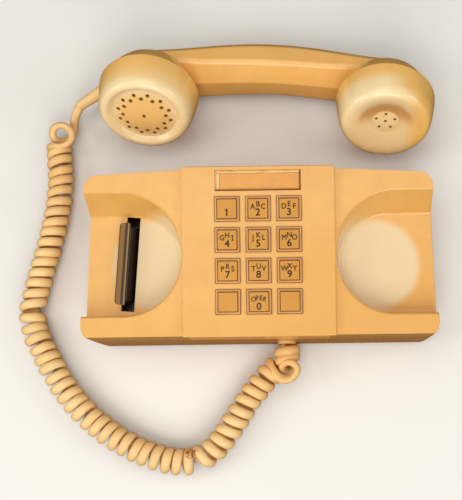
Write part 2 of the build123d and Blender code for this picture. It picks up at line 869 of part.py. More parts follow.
coil_front_y = cheek_front_y + cheek_gauge
bobbin_gauge = 1.2
with BuildPart() as ringer_coil:
    with BuildSketch(Plane.XZ.offset(-coil_front_y)):
        with Locations((core_x, core_z)):
            Circle(coil_radius)
    extrude(amount=-bobbin_gauge)
    with BuildSketch(Plane.XZ.offset(-coil_front_y)):
        with Locations((core_x, core_z)):
            Circle(coil_radius - 0.8)
    extrude(amount=coil_front_y - cheek_rear_y)
    with BuildSketch(Plane.XZ.offset(-cheek_rear_y)):
        with Locations((core_x, core_z)):
            Circle(coil_radius)
    extrude(amount=bobbin_gauge)
    with BuildSketch(Plane.XZ.offset(1 - cheek_front_y)):
        with Locations((core_x, core_z)):
            Circle(core_radius)
    extrude(amount=cheek_front_y - cheek_rear_y - cheek_gauge - 3)
ringer_coil.part.label = "ringer_coil"
export_step(ringer_coil.part, "parts/ringer_coil.step")

clapper_z = plate_top + frame_gauge + gap
rod_run = Vector(ball_x - clapper_x, ball_y - clapper_y, 0)
rod_plane = Plane(origin=(clapper_x, clapper_y, ball_z), x_dir=(0, 0, 1), z_dir=rod_run)
with BuildPart() as ringer_clapper:
    with BuildSketch(Plane.XY.offset(clapper_z)):
        with Locations((clapper_x, clapper_y)):
            Circle(clapper_hub)
    extrude(amount=clapper_height)
    with BuildSketch(Plane.XY.offset(core_z - armature_height / 2)):
        with Locations((clapper_x - armature_length / 2, clapper_y)):
            Rectangle(armature_length, armature_gauge)
    extrude(amount=armature_height)
    with BuildSketch(rod_plane):
        Circle(rod_radius)
    extrude(amount=rod_run.length)
    with Locations((ball_x, ball_y, ball_z)):
        Sphere(ball_radius)
    with BuildSketch(Plane.XY):
        with Locations((clapper_x, clapper_y)):
            Circle(clapper_pin + running_gap)
    extrude(amount=4 * clapper_height, mode=Mode.SUBTRACT)
ringer_clapper.part.label = "ringer_clapper"
export_step(ringer_clapper.part, "parts/ringer_clapper.step")

# ---------------------------------------------------------------- cord inlets
flange_extra = 1.4
flange_gauge_rubber = 1.4
neck_clearance = 0.1
with BuildPart() as inlet_grommet:
    with BuildSketch(inlet_plane):
        Circle(grommet_radius + flange_extra)
    extrude(amount=flange_gauge_rubber)
    with BuildSketch(inlet_plane):
        Circle(grommet_radius - neck_clearance)
    extrude(amount=-wall - 0.6)
    with BuildSketch(inlet_plane):
        Circle(inlet_radius)
    extrude(amount=2 * wall, both=True, mode=Mode.SUBTRACT)
inlet_grommet.part.label = "inlet_grommet"
export_step(inlet_grommet.part, "parts/inlet_grommet.step")

gland_flange = 1.6
with BuildPart() as cord_gland:
    with BuildSketch(gland_plane):
        Circle(gland_radius + flange_extra)
    extrude(amount=gland_flange)
    fillet(cord_gland.edges().group_by(Axis.Y)[0], 0.6)
    with BuildSketch(gland_plane):
        Circle(gland_radius - neck_clearance)
    extrude(amount=-wall - 1.2)
cord_gland.part.label = "cord_gland"
export_step(cord_gland.part, "parts/cord_gland.step")

# ---------------------------------------------------------------- handset
lean = radians(handset_lean)
yaw = radians(handset_yaw)
handset_plane = Plane(
    origin=(handset_x, handset_y, cap_radius * cos(lean) + rest_clearance),
    x_dir=(cos(yaw), sin(yaw), 0),
    z_dir=(sin(yaw) * cos(lean), -cos(yaw) * cos(lean), sin(lean)),
)
neck_height = 8.0           # neck of each bowl inside its cap
neck_radius = cap_radius - 3.8
cavity_radius = neck_radius - 3.7
cavity_depth = 12.0
bowl_depth = 16.5
bowl_back = cap_radius - 12.5
bowl_rim = cap_radius - 0.9

# Handle sections, to one side of the middle: along the handle, then half width and level
# of its back, its sides and its inner edges, then the radius that rounds them. Levels are
# from the plane of both rings.
flare = 24.1                # the handle widens into each bowl over this length
handle_end = 19.0
handle_sections = [
    (0.0, 13.0, -38.0, 16.5, -31.0, 15.0, -17.5, 4.0),
    (28.0, 13.4, -35.4, 17.0, -28.6, 15.5, -16.0, 4.0),
    (half_spacing - flare, 15.3, -28.6, 18.5, -22.2, 17.0, -13.6, 4.0),
    (half_spacing, 21.0, -17.9, 25.0, -12.0, 24.0, -5.0, 3.5),
    (half_spacing + handle_end, 19.5, -8.0, 22.5, -6.0, 20.0, -2.0, 1.5),
]
ridge_rise = 4.0
ridge_round = 0.6           # parting line along the handle's inner side
mirrored = [(-first, *rest) for first, *rest in reversed(handle_sections[1:])]


def cap_side(side):
    """Plane through one cap's axis: x outwards from the axis, y along the cap's axis."""
    return Plane(
        origin=handset_plane.from_local_coords((side * half_spacing, 0, 0)),
        x_dir=handset_plane.x_dir,
        z_dir=-handset_plane.y_dir,
    )


def cap_face(side, level):
    """Plane square to one cap's axis at a level above its ring."""
    return Plane(
        origin=handset_plane.from_local_coords((side * half_spacing, 0, level)),
        x_dir=handset_plane.x_dir,
        z_dir=handset_plane.z_dir,
    )


def cap_axis(side):
    """One cap's axis."""
    return Axis(cap_side(side).origin, handset_plane.z_dir)


boot_inset = 3.0            # the boot's root, inside the bowl's outline
boot_level = -5.4
boot_run = Vector(-21.4, -16.2, 1.4)
boot_start = Vector(boot_inset - half_spacing - cap_radius, -2.0, boot_level)
boot_root = handset_plane.from_local_coords(boot_start)
boot_tip = handset_plane.from_local_coords(boot_start + boot_run)
boot_root_radius = 4.5
boot_tip_radius = 3.3
boot_plane = Plane(origin=boot_root, z_dir=boot_tip - boot_root)
boot_length = (boot_tip - boot_root).length

with BuildPart() as handset_body:
    for x, *profile in mirrored + handle_sections:
        back, back_level, flank, flank_level, inner, inner_level, corner = profile
        section = Plane(
            origin=handset_plane.from_local_coords((x, 0, 0)),
            x_dir=handset_plane.y_dir,
            z_dir=handset_plane.x_dir,
        )
        with BuildSketch(section):
            with BuildLine():
                FilletPolyline(
                    (0, inner_level + ridge_rise),
                    (-inner, inner_level),
                    (-flank, flank_level),
                    (-back, back_level),
                    (back, back_level),
                    (flank, flank_level),
                    (inner, inner_level),
                    radius=[ridge_round] + 6 * [corner],
                    close=True,
                )
            make_face()
    loft()
    for side in (-1, 1):
        with BuildSketch(cap_side(side)):
            with BuildLine():
                Polyline(
                    (0, -bowl_depth),
                    (bowl_back, -bowl_depth),
                    (bowl_back + 4.8, -bowl_depth + 2.3),
                    (bowl_rim - 1.9, -5.0),
                    (bowl_rim - 0.3, -1.5),
                    (bowl_rim, 0),
                    (neck_radius, 0),
                    (neck_radius, neck_height),
                    (0, neck_height),
                    close=True,
                )
            make_face()
        revolve(axis=cap_axis(side))
    for side in (-1, 1):
        with BuildSketch(cap_face(side, neck_height)):
            Circle(cavity_radius)
        extrude(amount=-neck_height - cavity_depth, mode=Mode.SUBTRACT)
        with BuildSketch(cap_face(side, 0)):
            Circle(neck_radius + 5)
            Circle(neck_radius, mode=Mode.SUBTRACT)
        extrude(amount=3 * neck_height, mode=Mode.SUBTRACT)
    with BuildSketch(boot_plane):
        Circle(boot_root_radius + neck_clearance)
    extrude(amount=12, both=True, mode=Mode.SUBTRACT)
handset_body.part.label = "handset_body"
export_step(handset_body.part, "parts/handset_body.step")

# ---------------------------------------------------------------- caps
cap_bore = neck_radius + gap
lip_radius = cap_radius - 7.5
plate_radius = lip_radius - 4.1
plate_edge = cap_height - 3.4
plate_crown = cap_height - 0.8
plate_under = plate_edge - 2.4
under_radius = plate_radius + 5
hole_radius = 1.3
inner_ring = plate_radius - 7.0
outer_ring = plate_radius - 4.0
ring_holes = 12


def cap_wall():
    """Outer wall of a cap, from its bore at the ring to the crest of its lip."""
    Polyline((under_radius, plate_under), (cap_bore, neck_height + 1.5), (cap_bore, 0))
    Line((cap_bore, 0), (cap_radius, 0))
    Spline(
        (cap_radius, 0),
        (cap_radius - 1.0, 0.39 * cap_height),
        (cap_radius - 3.0, 0.81 * cap_height),
        (lip_radius + 2.6, cap_height - 0.9),
        (lip_radius, cap_height),
        tangents=((-0.04, 1), (-1, 0)),
    )


with BuildPart() as receiver_cap:
    with BuildSketch(cap_side(-1)):
        with BuildLine():
            cap_wall()
            Spline(
                (lip_radius, cap_height),
                (lip_radius - 2.4, cap_height - 1.2),
                (plate_radius, plate_edge),
                tangents=((-1, 0), (-0.4, -1)),
            )
            ThreePointArc(
                (plate_radius, plate_edge),
                (plate_radius / 2, plate_crown - (plate_crown - plate_edge) / 4),
                (0, plate_crown),
            )
            Polyline((0, plate_crown), (0, plate_under), (under_radius, plate_under))
        make_face()
    revolve(axis=cap_axis(-1))
    with BuildSketch(cap_face(-1, plate_under)):
        Circle(hole_radius)
        with PolarLocations(inner_ring, ring_holes, start_angle=90):
            Circle(hole_radius)
        with PolarLocations(outer_ring, ring_holes, start_angle=90 + 180 / ring_holes):
            Circle(hole_radius)
    extrude(amount=cap_height, mode=Mode.SUBTRACT)
receiver_cap.part.label = "receiver_cap"
export_step(receiver_cap.part, "parts/receiver_cap.step")

dish_slope = 16.0           # width of the sloping ring round the speaking holes
dish_radius = lip_radius - dish_slope
dish_level = cap_height - 4.5
dish_under = dish_level - 2.0
speaking_hole = 1.0
speaking_ring = 6.3
with BuildPart() as mouthpiece_cap:
    with BuildSketch(cap_side(1)):
        with BuildLine():
            cap_wall()
            Spline(
                (lip_radius, cap_height),
                (lip_radius - 6.0, cap_height - 1.4),
                (dish_radius, dish_level),
                tangents=((-1, 0), (-1, -0.25)),
            )
            Polyline(
                (dish_radius, dish_level),
                (0, dish_level),
                (0, dish_under),
                (plate_radius - 2, dish_under),
                (under_radius, plate_under),
            )
        make_face()
    revolve(axis=cap_axis(1))
    with BuildSketch(cap_face(1, dish_under)):
        Circle(speaking_hole)
        with PolarLocations(speaking_ring, 5, start_angle=90):
            Circle(speaking_hole)
    extrude(amount=cap_height, mode=Mode.SUBTRACT)
mouthpiece_cap.part.label = "mouthpiece_cap"
export_step(mouthpiece_cap.part, "parts/mouthpiece_cap.step")

# ---------------------------------------------------------------- handset internals
unit_flange = neck_radius - 1.3
unit_gauge = 1.4
unit_radius = cavity_radius - 3
unit_face = unit_radius - 4
receiver_depth = 8.0
with BuildPart() as receiver_unit:
    with BuildSketch(cap_side(-1)):
        with BuildLine():
            Polyline(
                (0, -receiver_depth),
                (unit_radius - 3, -receiver_depth),
                (unit_radius, 3 - receiver_depth),
                (unit_radius, neck_height),
                (unit_flange, neck_height),
                (unit_flange, neck_height + unit_gauge),
                (unit_radius, neck_height + unit_gauge),
                (unit_face, plate_under - gap),
                (0, plate_under - gap),
                close=True,
            )
        make_face()
    revolve(axis=cap_axis(-1))
receiver_unit.part.label = "receiver_unit"
export_step(receiver_unit.part, "parts/receiver_unit.step")

transmitter_foot = 1.0
unit_step = 5.0
with BuildPart() as transmitter_unit:
    with BuildSketch(cap_side(1)):
        with BuildLine():
            Polyline(
                (0, transmitter_foot),
                (unit_radius - unit_step, transmitter_foot),
                (unit_radius - unit_step, transmitter_foot + 4),
                (unit_radius, neck_height),
                (unit_flange, neck_height),
                (unit_flange, neck_height + unit_gauge),
                (unit_radius, neck_height + unit_gauge),
                (unit_face, dish_under - gap),
                (0, dish_under - gap),
                close=True,
            )
        make_face()
    revolve(axis=cap_axis(1))
transmitter_unit.part.label = "transmitter_unit"
export_step(transmitter_unit.part, "parts/transmitter_unit.step")

cup_floor = 2.0
cup_wall = 1.6
spring_width = 3.0
spring_breadth = 12.0
spring_x = 9.0
with BuildPart() as transmitter_cup:
    with BuildSketch(cap_face(1, -cavity_depth)):
        Circle(cavity_radius - gap)
    extrude(amount=cavity_depth + neck_height - gap)
    with BuildSketch(cap_face(1, cup_floor - cavity_depth)):
        Circle(cavity_radius - gap - cup_wall)
    extrude(amount=2 * cap_height, mode=Mode.SUBTRACT)
    with BuildSketch(cap_face(1, cup_floor - cavity_depth)):
        with Locations((-spring_x, 0), (spring_x, 0)):
            Rectangle(spring_width, spring_breadth)
    extrude(amount=cavity_depth - cup_floor + transmitter_foot)
transmitter_cup.part.label = "transmitter_cup"
export_step(transmitter_cup.part, "parts/transmitter_cup.step")

# ---------------------------------------------------------------- curly cord and its boot
boot_neck = 5.0
with BuildPart() as cord_boot:
    with BuildSketch(boot_plane):
        Circle(boot_root_radius)
    with BuildSketch(boot_plane.offset(boot_length)):
        Circle(boot_tip_radius)
    loft()
    with BuildSketch(boot_plane):
        Circle(boot_root_radius)
    extrude(amount=-boot_neck)
cord_boot.part.label = "cord_boot"
export_step(cord_boot.part, "parts/cord_boot.step")

coil_z = coil_diameter / 2 + 0.2
coil_route = [
    (-137.6, 88.0),
    (-136.4, 68.0),
    (-136.6, 46.0),
    (-140.3, 20.0),
    (-148.6, -12.0),
    (-153.3, -36.0),
    (-141.5, -60.5),
    (-124.5, -88.0),
    (-99.5, -110.5),
    (-71.0, -125.0),
    (-48.0, -129.3),
    (-31.0, -120.5),
    (-17.5, -104.5),
    (-5.0, -85.5),
    (8.0, -72.0),
]
coil_points = [(x, y, coil_z) for x, y in coil_route]
handset_tail = [
    (-137.6, 88.0, coil_z),
    (-138.2, 98.0, coil_z),
    (-135.0, 103.6, 7.0),
    (-130.2, 108.1, 7.7),
    tuple(boot_plane.from_local_coords((0, 0, boot_length + gap))),
]
base_tail = [
    (8.0, -72.0, coil_z),
    (12.4, -67.43, coil_z),
    (gland_x, -60.6, 9.63),
    tuple(gland_plane.from_local_coords((0, 0, gland_flange))),
]


def bend_radii(points, name):
    """The largest arcs that fit the route's runs, one for each of its corners."""
    radii = []
    for before, corner, after in zip(points, points[1:], points[2:]):
        run_in = Vector(*corner) - Vector(*before)
        run_out = Vector(*after) - Vector(*corner)
        half_turn = radians(run_in.get_angle(run_out)) / 2
        radii.append(0.45 * min(run_in.length, run_out.length) / tan(half_turn))
    print(name, "bend radii", [round(r, 1) for r in radii])
    return radii


for cord_name, points, diameter in (
    ("cord_coil", coil_points, coil_diameter),
    ("cord_tail_handset", handset_tail, wire_diameter),
    ("cord_tail_base", base_tail, wire_diameter),
):
    with BuildPart() as cord:
        with BuildLine():
            route = FilletPolyline(*points, radius=bend_radii(points, cord_name))
        with BuildSketch(Plane(origin=route @ 0, z_dir=route % 0)):
            Circle(diameter / 2)
        sweep(path=route)
    section = pi * diameter**2 / 4
    print(cord_name, "length", round(route.length, 1), "mm")
    fullness = cord.part.volume / (section * route.length)
    print(cord_name, "volume over section times length", round(fullness, 4))
    cord.part.label = cord_name
    export_step(cord.part, f"parts/{cord_name}.step")
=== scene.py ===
import bmesh
import bpy
from math import cos, pi, radians, sin, tan, tanh
from mathutils import Matrix, Vector


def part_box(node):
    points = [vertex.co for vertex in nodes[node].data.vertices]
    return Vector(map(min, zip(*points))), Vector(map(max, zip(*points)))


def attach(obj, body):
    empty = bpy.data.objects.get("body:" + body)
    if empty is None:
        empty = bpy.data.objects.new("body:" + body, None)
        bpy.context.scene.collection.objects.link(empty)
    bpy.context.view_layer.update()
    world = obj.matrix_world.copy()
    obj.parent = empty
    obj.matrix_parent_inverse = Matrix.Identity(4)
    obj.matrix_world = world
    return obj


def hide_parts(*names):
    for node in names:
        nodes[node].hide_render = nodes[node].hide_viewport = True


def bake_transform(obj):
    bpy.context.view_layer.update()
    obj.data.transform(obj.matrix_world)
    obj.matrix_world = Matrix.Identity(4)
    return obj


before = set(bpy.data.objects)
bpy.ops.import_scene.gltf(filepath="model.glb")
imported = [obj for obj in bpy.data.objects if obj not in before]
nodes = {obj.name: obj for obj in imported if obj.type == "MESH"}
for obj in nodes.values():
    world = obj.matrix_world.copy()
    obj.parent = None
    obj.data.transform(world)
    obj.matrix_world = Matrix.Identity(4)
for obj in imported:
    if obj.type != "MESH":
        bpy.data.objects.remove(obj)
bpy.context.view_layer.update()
mm = 0.001

# ---------------------------------------------------------------- camera, light and floor
# The telephone lies on a plain pale table under a broad soft lamp above it and a stronger one
# in front, with a smaller one at each side. The camera looks down from just in front of the
# keypad.


def tone(red, green, blue):
    """A colour given as it shows on a screen, 0 to 255, as linear light with alpha 1."""
    def linear(c):
        c = c / 255
        return c / 12.92 if c <= 0.04045 else ((c + 0.055) / 1.055) ** 2.4
    return (linear(red), linear(green), linear(blue), 1.0)


tilt = radians(10.0)
roll = radians(0.74)
forward = Vector((0, sin(tilt), -cos(tilt)))
level_up = Vector((0, cos(tilt), sin(tilt)))
level_right = Vector((1, 0, 0))
right = cos(roll) * level_right - sin(roll) * level_up
up = sin(roll) * level_right + cos(roll) * level_up
camera_data = bpy.data.cameras.new("camera")
camera_data.lens = 61.2
camera_data.shift_x = -0.188
camera_data.shift_y = -0.010
camera = bpy.data.objects.new("camera", camera_data)
bpy.context.scene.collection.objects.link(camera)
camera.matrix_world = Matrix.Translation((0.04088, -0.08718, 0.56624)) @ Matrix(
    (right, up, -forward)
).transposed().to_4x4()
bpy.context.scene.camera = camera


def soft_lamp(name, place, target, size, power, colour):
    """A square area lamp at place, turned towards target."""
    lamp = bpy.data.lights.new(name, "AREA")
    lamp.size = size
    lamp.energy = power
    lamp.color = colour
    obj = bpy.data.objects.new(name, lamp)
    bpy.context.scene.collection.objects.link(obj)
    aim = Vector(target) - Vector(place)
    obj.matrix_world = Matrix.Translation(place) @ aim.to_track_quat("-Z", "Y").to_matrix().to_4x4()


soft_lamp("lamp_main", (-0.10, 0.20, 1.00), (0, 0, 0.02), 0.80, 2.6, (1.0, 0.97, 0.92))
soft_lamp("lamp_left", (-0.85, -0.10, 0.60), (0, 0, 0.02), 0.50, 3.0, (1.0, 0.97, 0.92))
soft_lamp("lamp_right", (0.85, 0.00, 0.60), (0, 0, 0.02), 0.50, 2.0, (1.0, 0.97, 0.92))
soft_lamp("lamp_fill", (0.05, -0.75, 0.80), (0, 0, 0.02), 0.80, 6.2, (1.0, 0.98, 0.95))

world = bpy.data.worlds.new("studio")
bpy.context.scene.world = world
world.use_nodes = True
world.node_tree.nodes["Background"].inputs["Color"].default_value = (1.0, 0.98, 0.95, 1.0)
world.node_tree.nodes["Background"].inputs["Strength"].default_value = 0.29
bpy.context.scene.view_settings.view_transform = "Standard"


class Nodes:
    """A short way to add nodes to one material's or group's tree and join them."""

    def __init__(self, tree):
        self.tree = tree

    def add(self, kind, **settings):
        node = self.tree.nodes.new(kind)
        for key, value in settings.items():
            setattr(node, key, value)
        return node

    def put(self, node, **values):
        for key, value in values.items():
            socket = node.inputs[key.replace("_", " ")]
            if isinstance(value, bpy.types.NodeSocket):
                self.tree.links.new(value, socket)
            else:
                socket.default_value = value
        return node

    def math(self, operation, first, second=0.0):
        node = self.add("ShaderNodeMath", operation=operation)
        for socket, value in zip(node.inputs, (first, second)):
            if isinstance(value, bpy.types.NodeSocket):
                self.tree.links.new(value, socket)
            else:
                socket.default_value = value
        return node.outputs[0]

    def mix(self, factor, first, second):
        node = self.add("ShaderNodeMix", data_type="RGBA")
        for index, value in ((0, factor), (6, first), (7, second)):
            if isinstance(value, bpy.types.NodeSocket):
                self.tree.links.new(value, node.inputs[index])
            else:
                node.inputs[index].default_value = value
        return node.outputs[2]

    def noise(self, place, scale, detail=4.0, roughness=0.55):
        node = self.add("ShaderNodeTexNoise")
        self.put(node, Vector=place, Scale=scale, Detail=detail, Roughness=roughness)
        return node.outputs["Fac"]

    def ramp(self, factor, low, high):
        """0 at low, 1 at high, smooth between."""
        node = self.add("ShaderNodeMapRange", interpolation_type="SMOOTHSTEP")
        self.put(node, From_Min=low, From_Max=high, Value=factor)
        return node.outputs[0]

    def length_along(self, place, origin, direction):
        """How far place lies from origin in a direction."""
        offset = self.put(self.add("ShaderNodeVectorMath", operation="SUBTRACT"), Vector=place)
        offset.inputs[1].default_value = origin
        dot = self.add("ShaderNodeVectorMath", operation="DOT_PRODUCT")
        self.put(dot, Vector=offset.outputs["Vector"])
        dot.inputs[1].default_value = direction
        return dot.outputs["Value"]

    def bump(self, height, strength, distance):
        node = self.add("ShaderNodeBump")
        self.put(node, Height=height, Strength=strength, Distance=distance)
        return node.outputs["Normal"]


def material(name):
    """A new material and its node helper, with a Principled BSDF to finish."""
    made = bpy.data.materials.new(name)
    made.use_nodes = True
    made.node_tree.nodes.clear()
    tree = Nodes(made.node_tree)
    surface = tree.add("ShaderNodeBsdfPrincipled")
    output = tree.add("ShaderNodeOutputMaterial")
    tree.tree.links.new(surface.outputs[0], output.inputs["Surface"])
    return made, tree, surface


table_finish, tree, surface = material("pale_table")
place = tree.add("ShaderNodeTexCoord").outputs["Object"]
mottle = tree.noise(place, 6.0)
seen = tree.add("ShaderNodeLightPath").outputs["Is Camera Ray"]
pale_floor = tree.mix(mottle, tone(240, 238, 234), tone(235, 232, 227))
tree.put(surface, Base_Color=tree.mix(seen, tone(92, 68, 46), pale_floor), Roughness=0.8)
bpy.ops.mesh.primitive_plane_add(size=6)
table = bpy.context.object
table.name = "table"
table.data.materials.append(table_finish)

# ---------------------------------------------------------------- curly cord
# One vinyl-covered cord wound into a spring of close turns. It comes out of the gland in
# the base's front wall, lies round the left of the base and ends in the handset's boot.
# Its winding changes hand at two places, as such cords do once they have been twisted.

half_wide = 3.0 * mm
half_thin = 2.3 * mm
coil_outside = 17.6 * mm
coil_radius = coil_outside / 2 - half_thin
coil_z = 9.0
coil_route = [
    (8.0, -69.8, coil_z),
    (-6.2, -83.6, coil_z),
    (-18.0, -103.0, coil_z),
    (-31.0, -121.5, coil_z),
    (-48.0, -129.3, coil_z),
    (-71.0, -125.0, coil_z),
    (-99.5, -110.5, coil_z),
    (-124.5, -88.0, coil_z),
    (-141.5, -60.5, coil_z),
    (-153.3, -36.0, coil_z),
    (-148.6, -12.0, coil_z),
    (-140.3, 20.0, coil_z),
    (-136.6, 46.0, coil_z),
    (-136.6, 64.0, coil_z),
    (-139.2, 82.0, coil_z),
]
hand_changes = [Vector((-43.0, -126.5, coil_z)) * mm, Vector((-152.5, -30.0, coil_z)) * mm]
section_turns = (10, 22, 16)
turn_points = 16
section_lean = (radians(-2.0), radians(9.0), radians(4.0))
gland_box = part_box("cord_gland")
exit_point = Vector((15.2 * mm, gland_box[0][1], 9.1 * mm))
base_loop = [
    (18.0, -68.6, 4.6),
    (18.0, -71.6, 6.0),
    (15.6, -72.8, 7.6),
    (13.3, -71.6, 9.4),
    (12.0, -69.4, 11.6),
    (12.9, -67.0, 14.0),
    (17.0, -65.8, 16.4),
    (21.2, -67.6, 17.0),
    (22.5, -71.6, 17.0),
    (19.9, -75.9, 16.6),
    (15.2, -77.8, 16.4),
    (11.0, -76.7, 16.0),
    (7.5, -73.5, 15.4),
    (4.4, -69.0, 13.0),
]
handset_loop = [
    (-142.7, 80.0, 13.5),
    (-137.7, 78.8, 15.5),
    (-131.5, 80.3, 16.0),
    (-128.0, 84.7, 16.0),
    (-129.1, 89.9, 15.5),
    (-132.9, 93.8, 14.5),
    (-137.4, 95.5, 13.5),
    (-141.8, 94.1, 12.5),
    (-143.6, 90.4, 11.5),
    (-142.7, 86.3, 10.0),
    (-139.2, 84.7, 8.0),
    (-134.9, 86.1, 6.0),
    (-131.3, 89.8, 5.5),
    (-130.0, 94.3, 6.0),
    (-130.1, 98.1, 7.2),
    (-128.9, 102.9, 8.6),
    (-126.7, 106.6, 10.0),
]
boot_tip = Vector((-125.17, 109.57, 11.03)) * mm


def spline_points(name, points, resolution=24):
    """Points along the NURBS line that has the given points, in metres, as its controls."""
    curve = bpy.data.curves.new(name, "CURVE")
    curve.dimensions = "3D"
    line = curve.splines.new("NURBS")
    line.points.add(len(points) - 1)
    for point, place in zip(line.points, points):
        point.co = (*place, 1)
    line.order_u = 3
    line.use_endpoint_u = True
    line.resolution_u = resolution
    obj = bpy.data.objects.new(name, curve)
    mesh = bpy.data.meshes.new_from_object(obj)
    found = [v.co.copy() for v in mesh.vertices]
    bpy.data.objects.remove(obj)
    return found


def even_steps(points, count):
    """The same line as count points a constant way apart."""
    lengths = [0.0]
    for a, b in zip(points, points[1:]):
        lengths.append(lengths[-1] + (b - a).length)
    found = []
    index = 0
    for step in range(count):
        want = lengths[-1] * step / (count - 1)
        while index < len(lengths) - 2 and lengths[index + 1] < want:
            index += 1
        span = lengths[index + 1] - lengths[index]
        found.append(points[index].lerp(points[index + 1], (want - lengths[index]) / span))
    return found


def nearest(points, goal):
    """The index of the point that lies nearest to goal."""
    return min(range(len(points)), key=lambda index: (points[index] - goal).length)


def wind(centres, flips, first_angle, goals, leans):
    """A helix round the line of centres, which changes hand at the indices in flips. Its angle
    is eased to reach each of goals, pairs of an index and an angle. Its turns lean by leans.
    Returns the points and the axis at each of them."""
    angles = [first_angle]
    for index in range(1, len(centres)):
        hand = 1.0
        for flip in flips:
            hand *= tanh((index - flip) / 4)
        angles.append(angles[-1] + hand * 2 * pi / turn_points)
    began = 0
    for index, goal in goals:
        short = (goal - angles[index] + pi) % (2 * pi) - pi
        for later in range(began + 1, len(angles)):
            angles[later] += short * min(1.0, (later - began) / (index - began))
        began = index
    found = []
    axes = []
    for index, centre in enumerate(centres):
        before = centres[max(index - 8, 0)]
        after = centres[min(index + 8, len(centres) - 1)]
        along = Matrix.Rotation(leans[index], 3, "Z") @ (after - before).normalized()
        across = along.cross(Vector((0, 0, 1))).normalized()
        lifted = across.cross(along)
        radius = coil_radius * (1.0 + 0.03 * sin(0.19 * index) * sin(0.043 * index))
        slide = 0.5 * mm * sin(0.23 * index + 1.3) * sin(0.071 * index)
        turn = cos(angles[index]) * lifted + sin(angles[index]) * across
        found.append(centre + slide * along + radius * turn)
        axes.append(along)
    return found, axes


coil_line = spline_points("coil_line", [Vector(p) * mm for p in coil_route])
cuts = [0] + [nearest(coil_line, goal) for goal in hand_changes] + [len(coil_line) - 1]
centres = [coil_line[0]]
for turns, first, last in zip(section_turns, cuts, cuts[1:]):
    centres += even_steps(coil_line[first:last + 1], turns * turn_points + 1)[1:]
flips = [sum(section_turns[:count]) * turn_points for count in (1, 2)]
coil_goals = [(flips[0], pi), (flips[1], pi), (len(centres) - 1, -pi / 2)]
leans = []
for index in range(len(centres)):
    second = 0.5 + 0.5 * tanh((index - flips[0]) / 12)
    third = 0.5 + 0.5 * tanh((index - flips[1]) / 12)
    to_second = (section_lean[1] - section_lean[0]) * second
    to_third = (section_lean[2] - section_lean[1]) * third
    leans.append(section_lean[0] + (to_second + to_third))
coil, coil_axes = wind(centres, flips, pi / 2, coil_goals, leans)
stack_end = Vector((15.6, -66.4, 9.0)) * mm
stack_points = 31
widening = 7
stack_centres = even_steps([exit_point, stack_end], stack_points)
stack_goals = [(stack_points - 1, 1.1 * pi)]
stack, stack_axes = wind(stack_centres, [], 0.4 * pi, stack_goals, [0.0] * stack_points)
for index in range(widening):
    stack[index] = stack_centres[index].lerp(stack[index], (index / widening) ** 0.7)

upright = Vector((0, 0, 1))
sideways = Vector((1, 0, 0))
cord_controls = [exit_point] + stack[1:] + [Vector(p) * mm for p in base_loop]
cord_broad = [stack_axes[0]] * len(stack)
for index in range(len(base_loop)):
    cord_broad.append(upright.lerp(coil_axes[0], max(0.0, (index - 8) / 6)))
cord_controls += coil + [Vector(p) * mm for p in handset_loop] + [boot_tip]
cord_broad += coil_axes
for index in range(len(handset_loop) + 1):
    turned = (upright + sideways).lerp(sideways, max(0.0, min(1.0, (index - 10) / 5)))
    cord_broad.append(coil_axes[-1].lerp(turned, min(1.0, index / 4)))
cord_path = spline_points("cord_line", cord_controls, resolution=2)


def tube(name, path, broad, wide, thin, sides):
    """A closed mesh tube along path, oval, its broader half width wide turned towards the
    directions in broad. The UV map has U along the tube in metres and V round it."""
    mesh = bpy.data.meshes.new(name)
    work = bmesh.new()
    uv = work.loops.layers.uv.new("along")
    travelled = [0.0]
    for a, b in zip(path, path[1:]):
        travelled.append(travelled[-1] + (b - a).length)
    flat = sideways
    flats = []
    for index in reversed(range(len(path))):
        before = path[max(index - 1, 0)]
        after = path[min(index + 1, len(path) - 1)]
        along = (after - before).normalized()
        wanted = broad[round(index * (len(broad) - 1) / (len(path) - 1))]
        wanted = wanted - wanted.dot(along) * along
        if wanted.dot(flat) < 0:
            wanted = -wanted
        flat = flat - flat.dot(along) * along
        flat = (0.7 * flat + 0.6 * wanted).normalized()
        flats.append((flat, along.cross(flat)))
    rings = []
    for centre, (one, other) in zip(path, reversed(flats)):
        ring = []
        for k in range(sides):
            turn = 2 * pi * k / sides
            ring.append(work.verts.new(centre + wide * cos(turn) * one + thin * sin(turn) * other))
        rings.append(ring)
    for index, (first, second) in enumerate(zip(rings, rings[1:])):
        for k in range(sides):
            n = (k + 1) % sides
            face = work.faces.new((first[k], first[n], second[n], second[k]))
            face.smooth = True
            corners = ((index, k), (index, k + 1), (index + 1, k + 1), (index + 1, k))
            for loop, (step, side) in zip(face.loops, corners):
                loop[uv].uv = (travelled[step], side / sides)
    work.faces.new(rings[0][::-1])
    work.faces.new(rings[-1])
    work.to_mesh(mesh)
    work.free()
    obj = bpy.data.objects.new(name, mesh)
    bpy.context.scene.collection.objects.link(obj)
    return obj


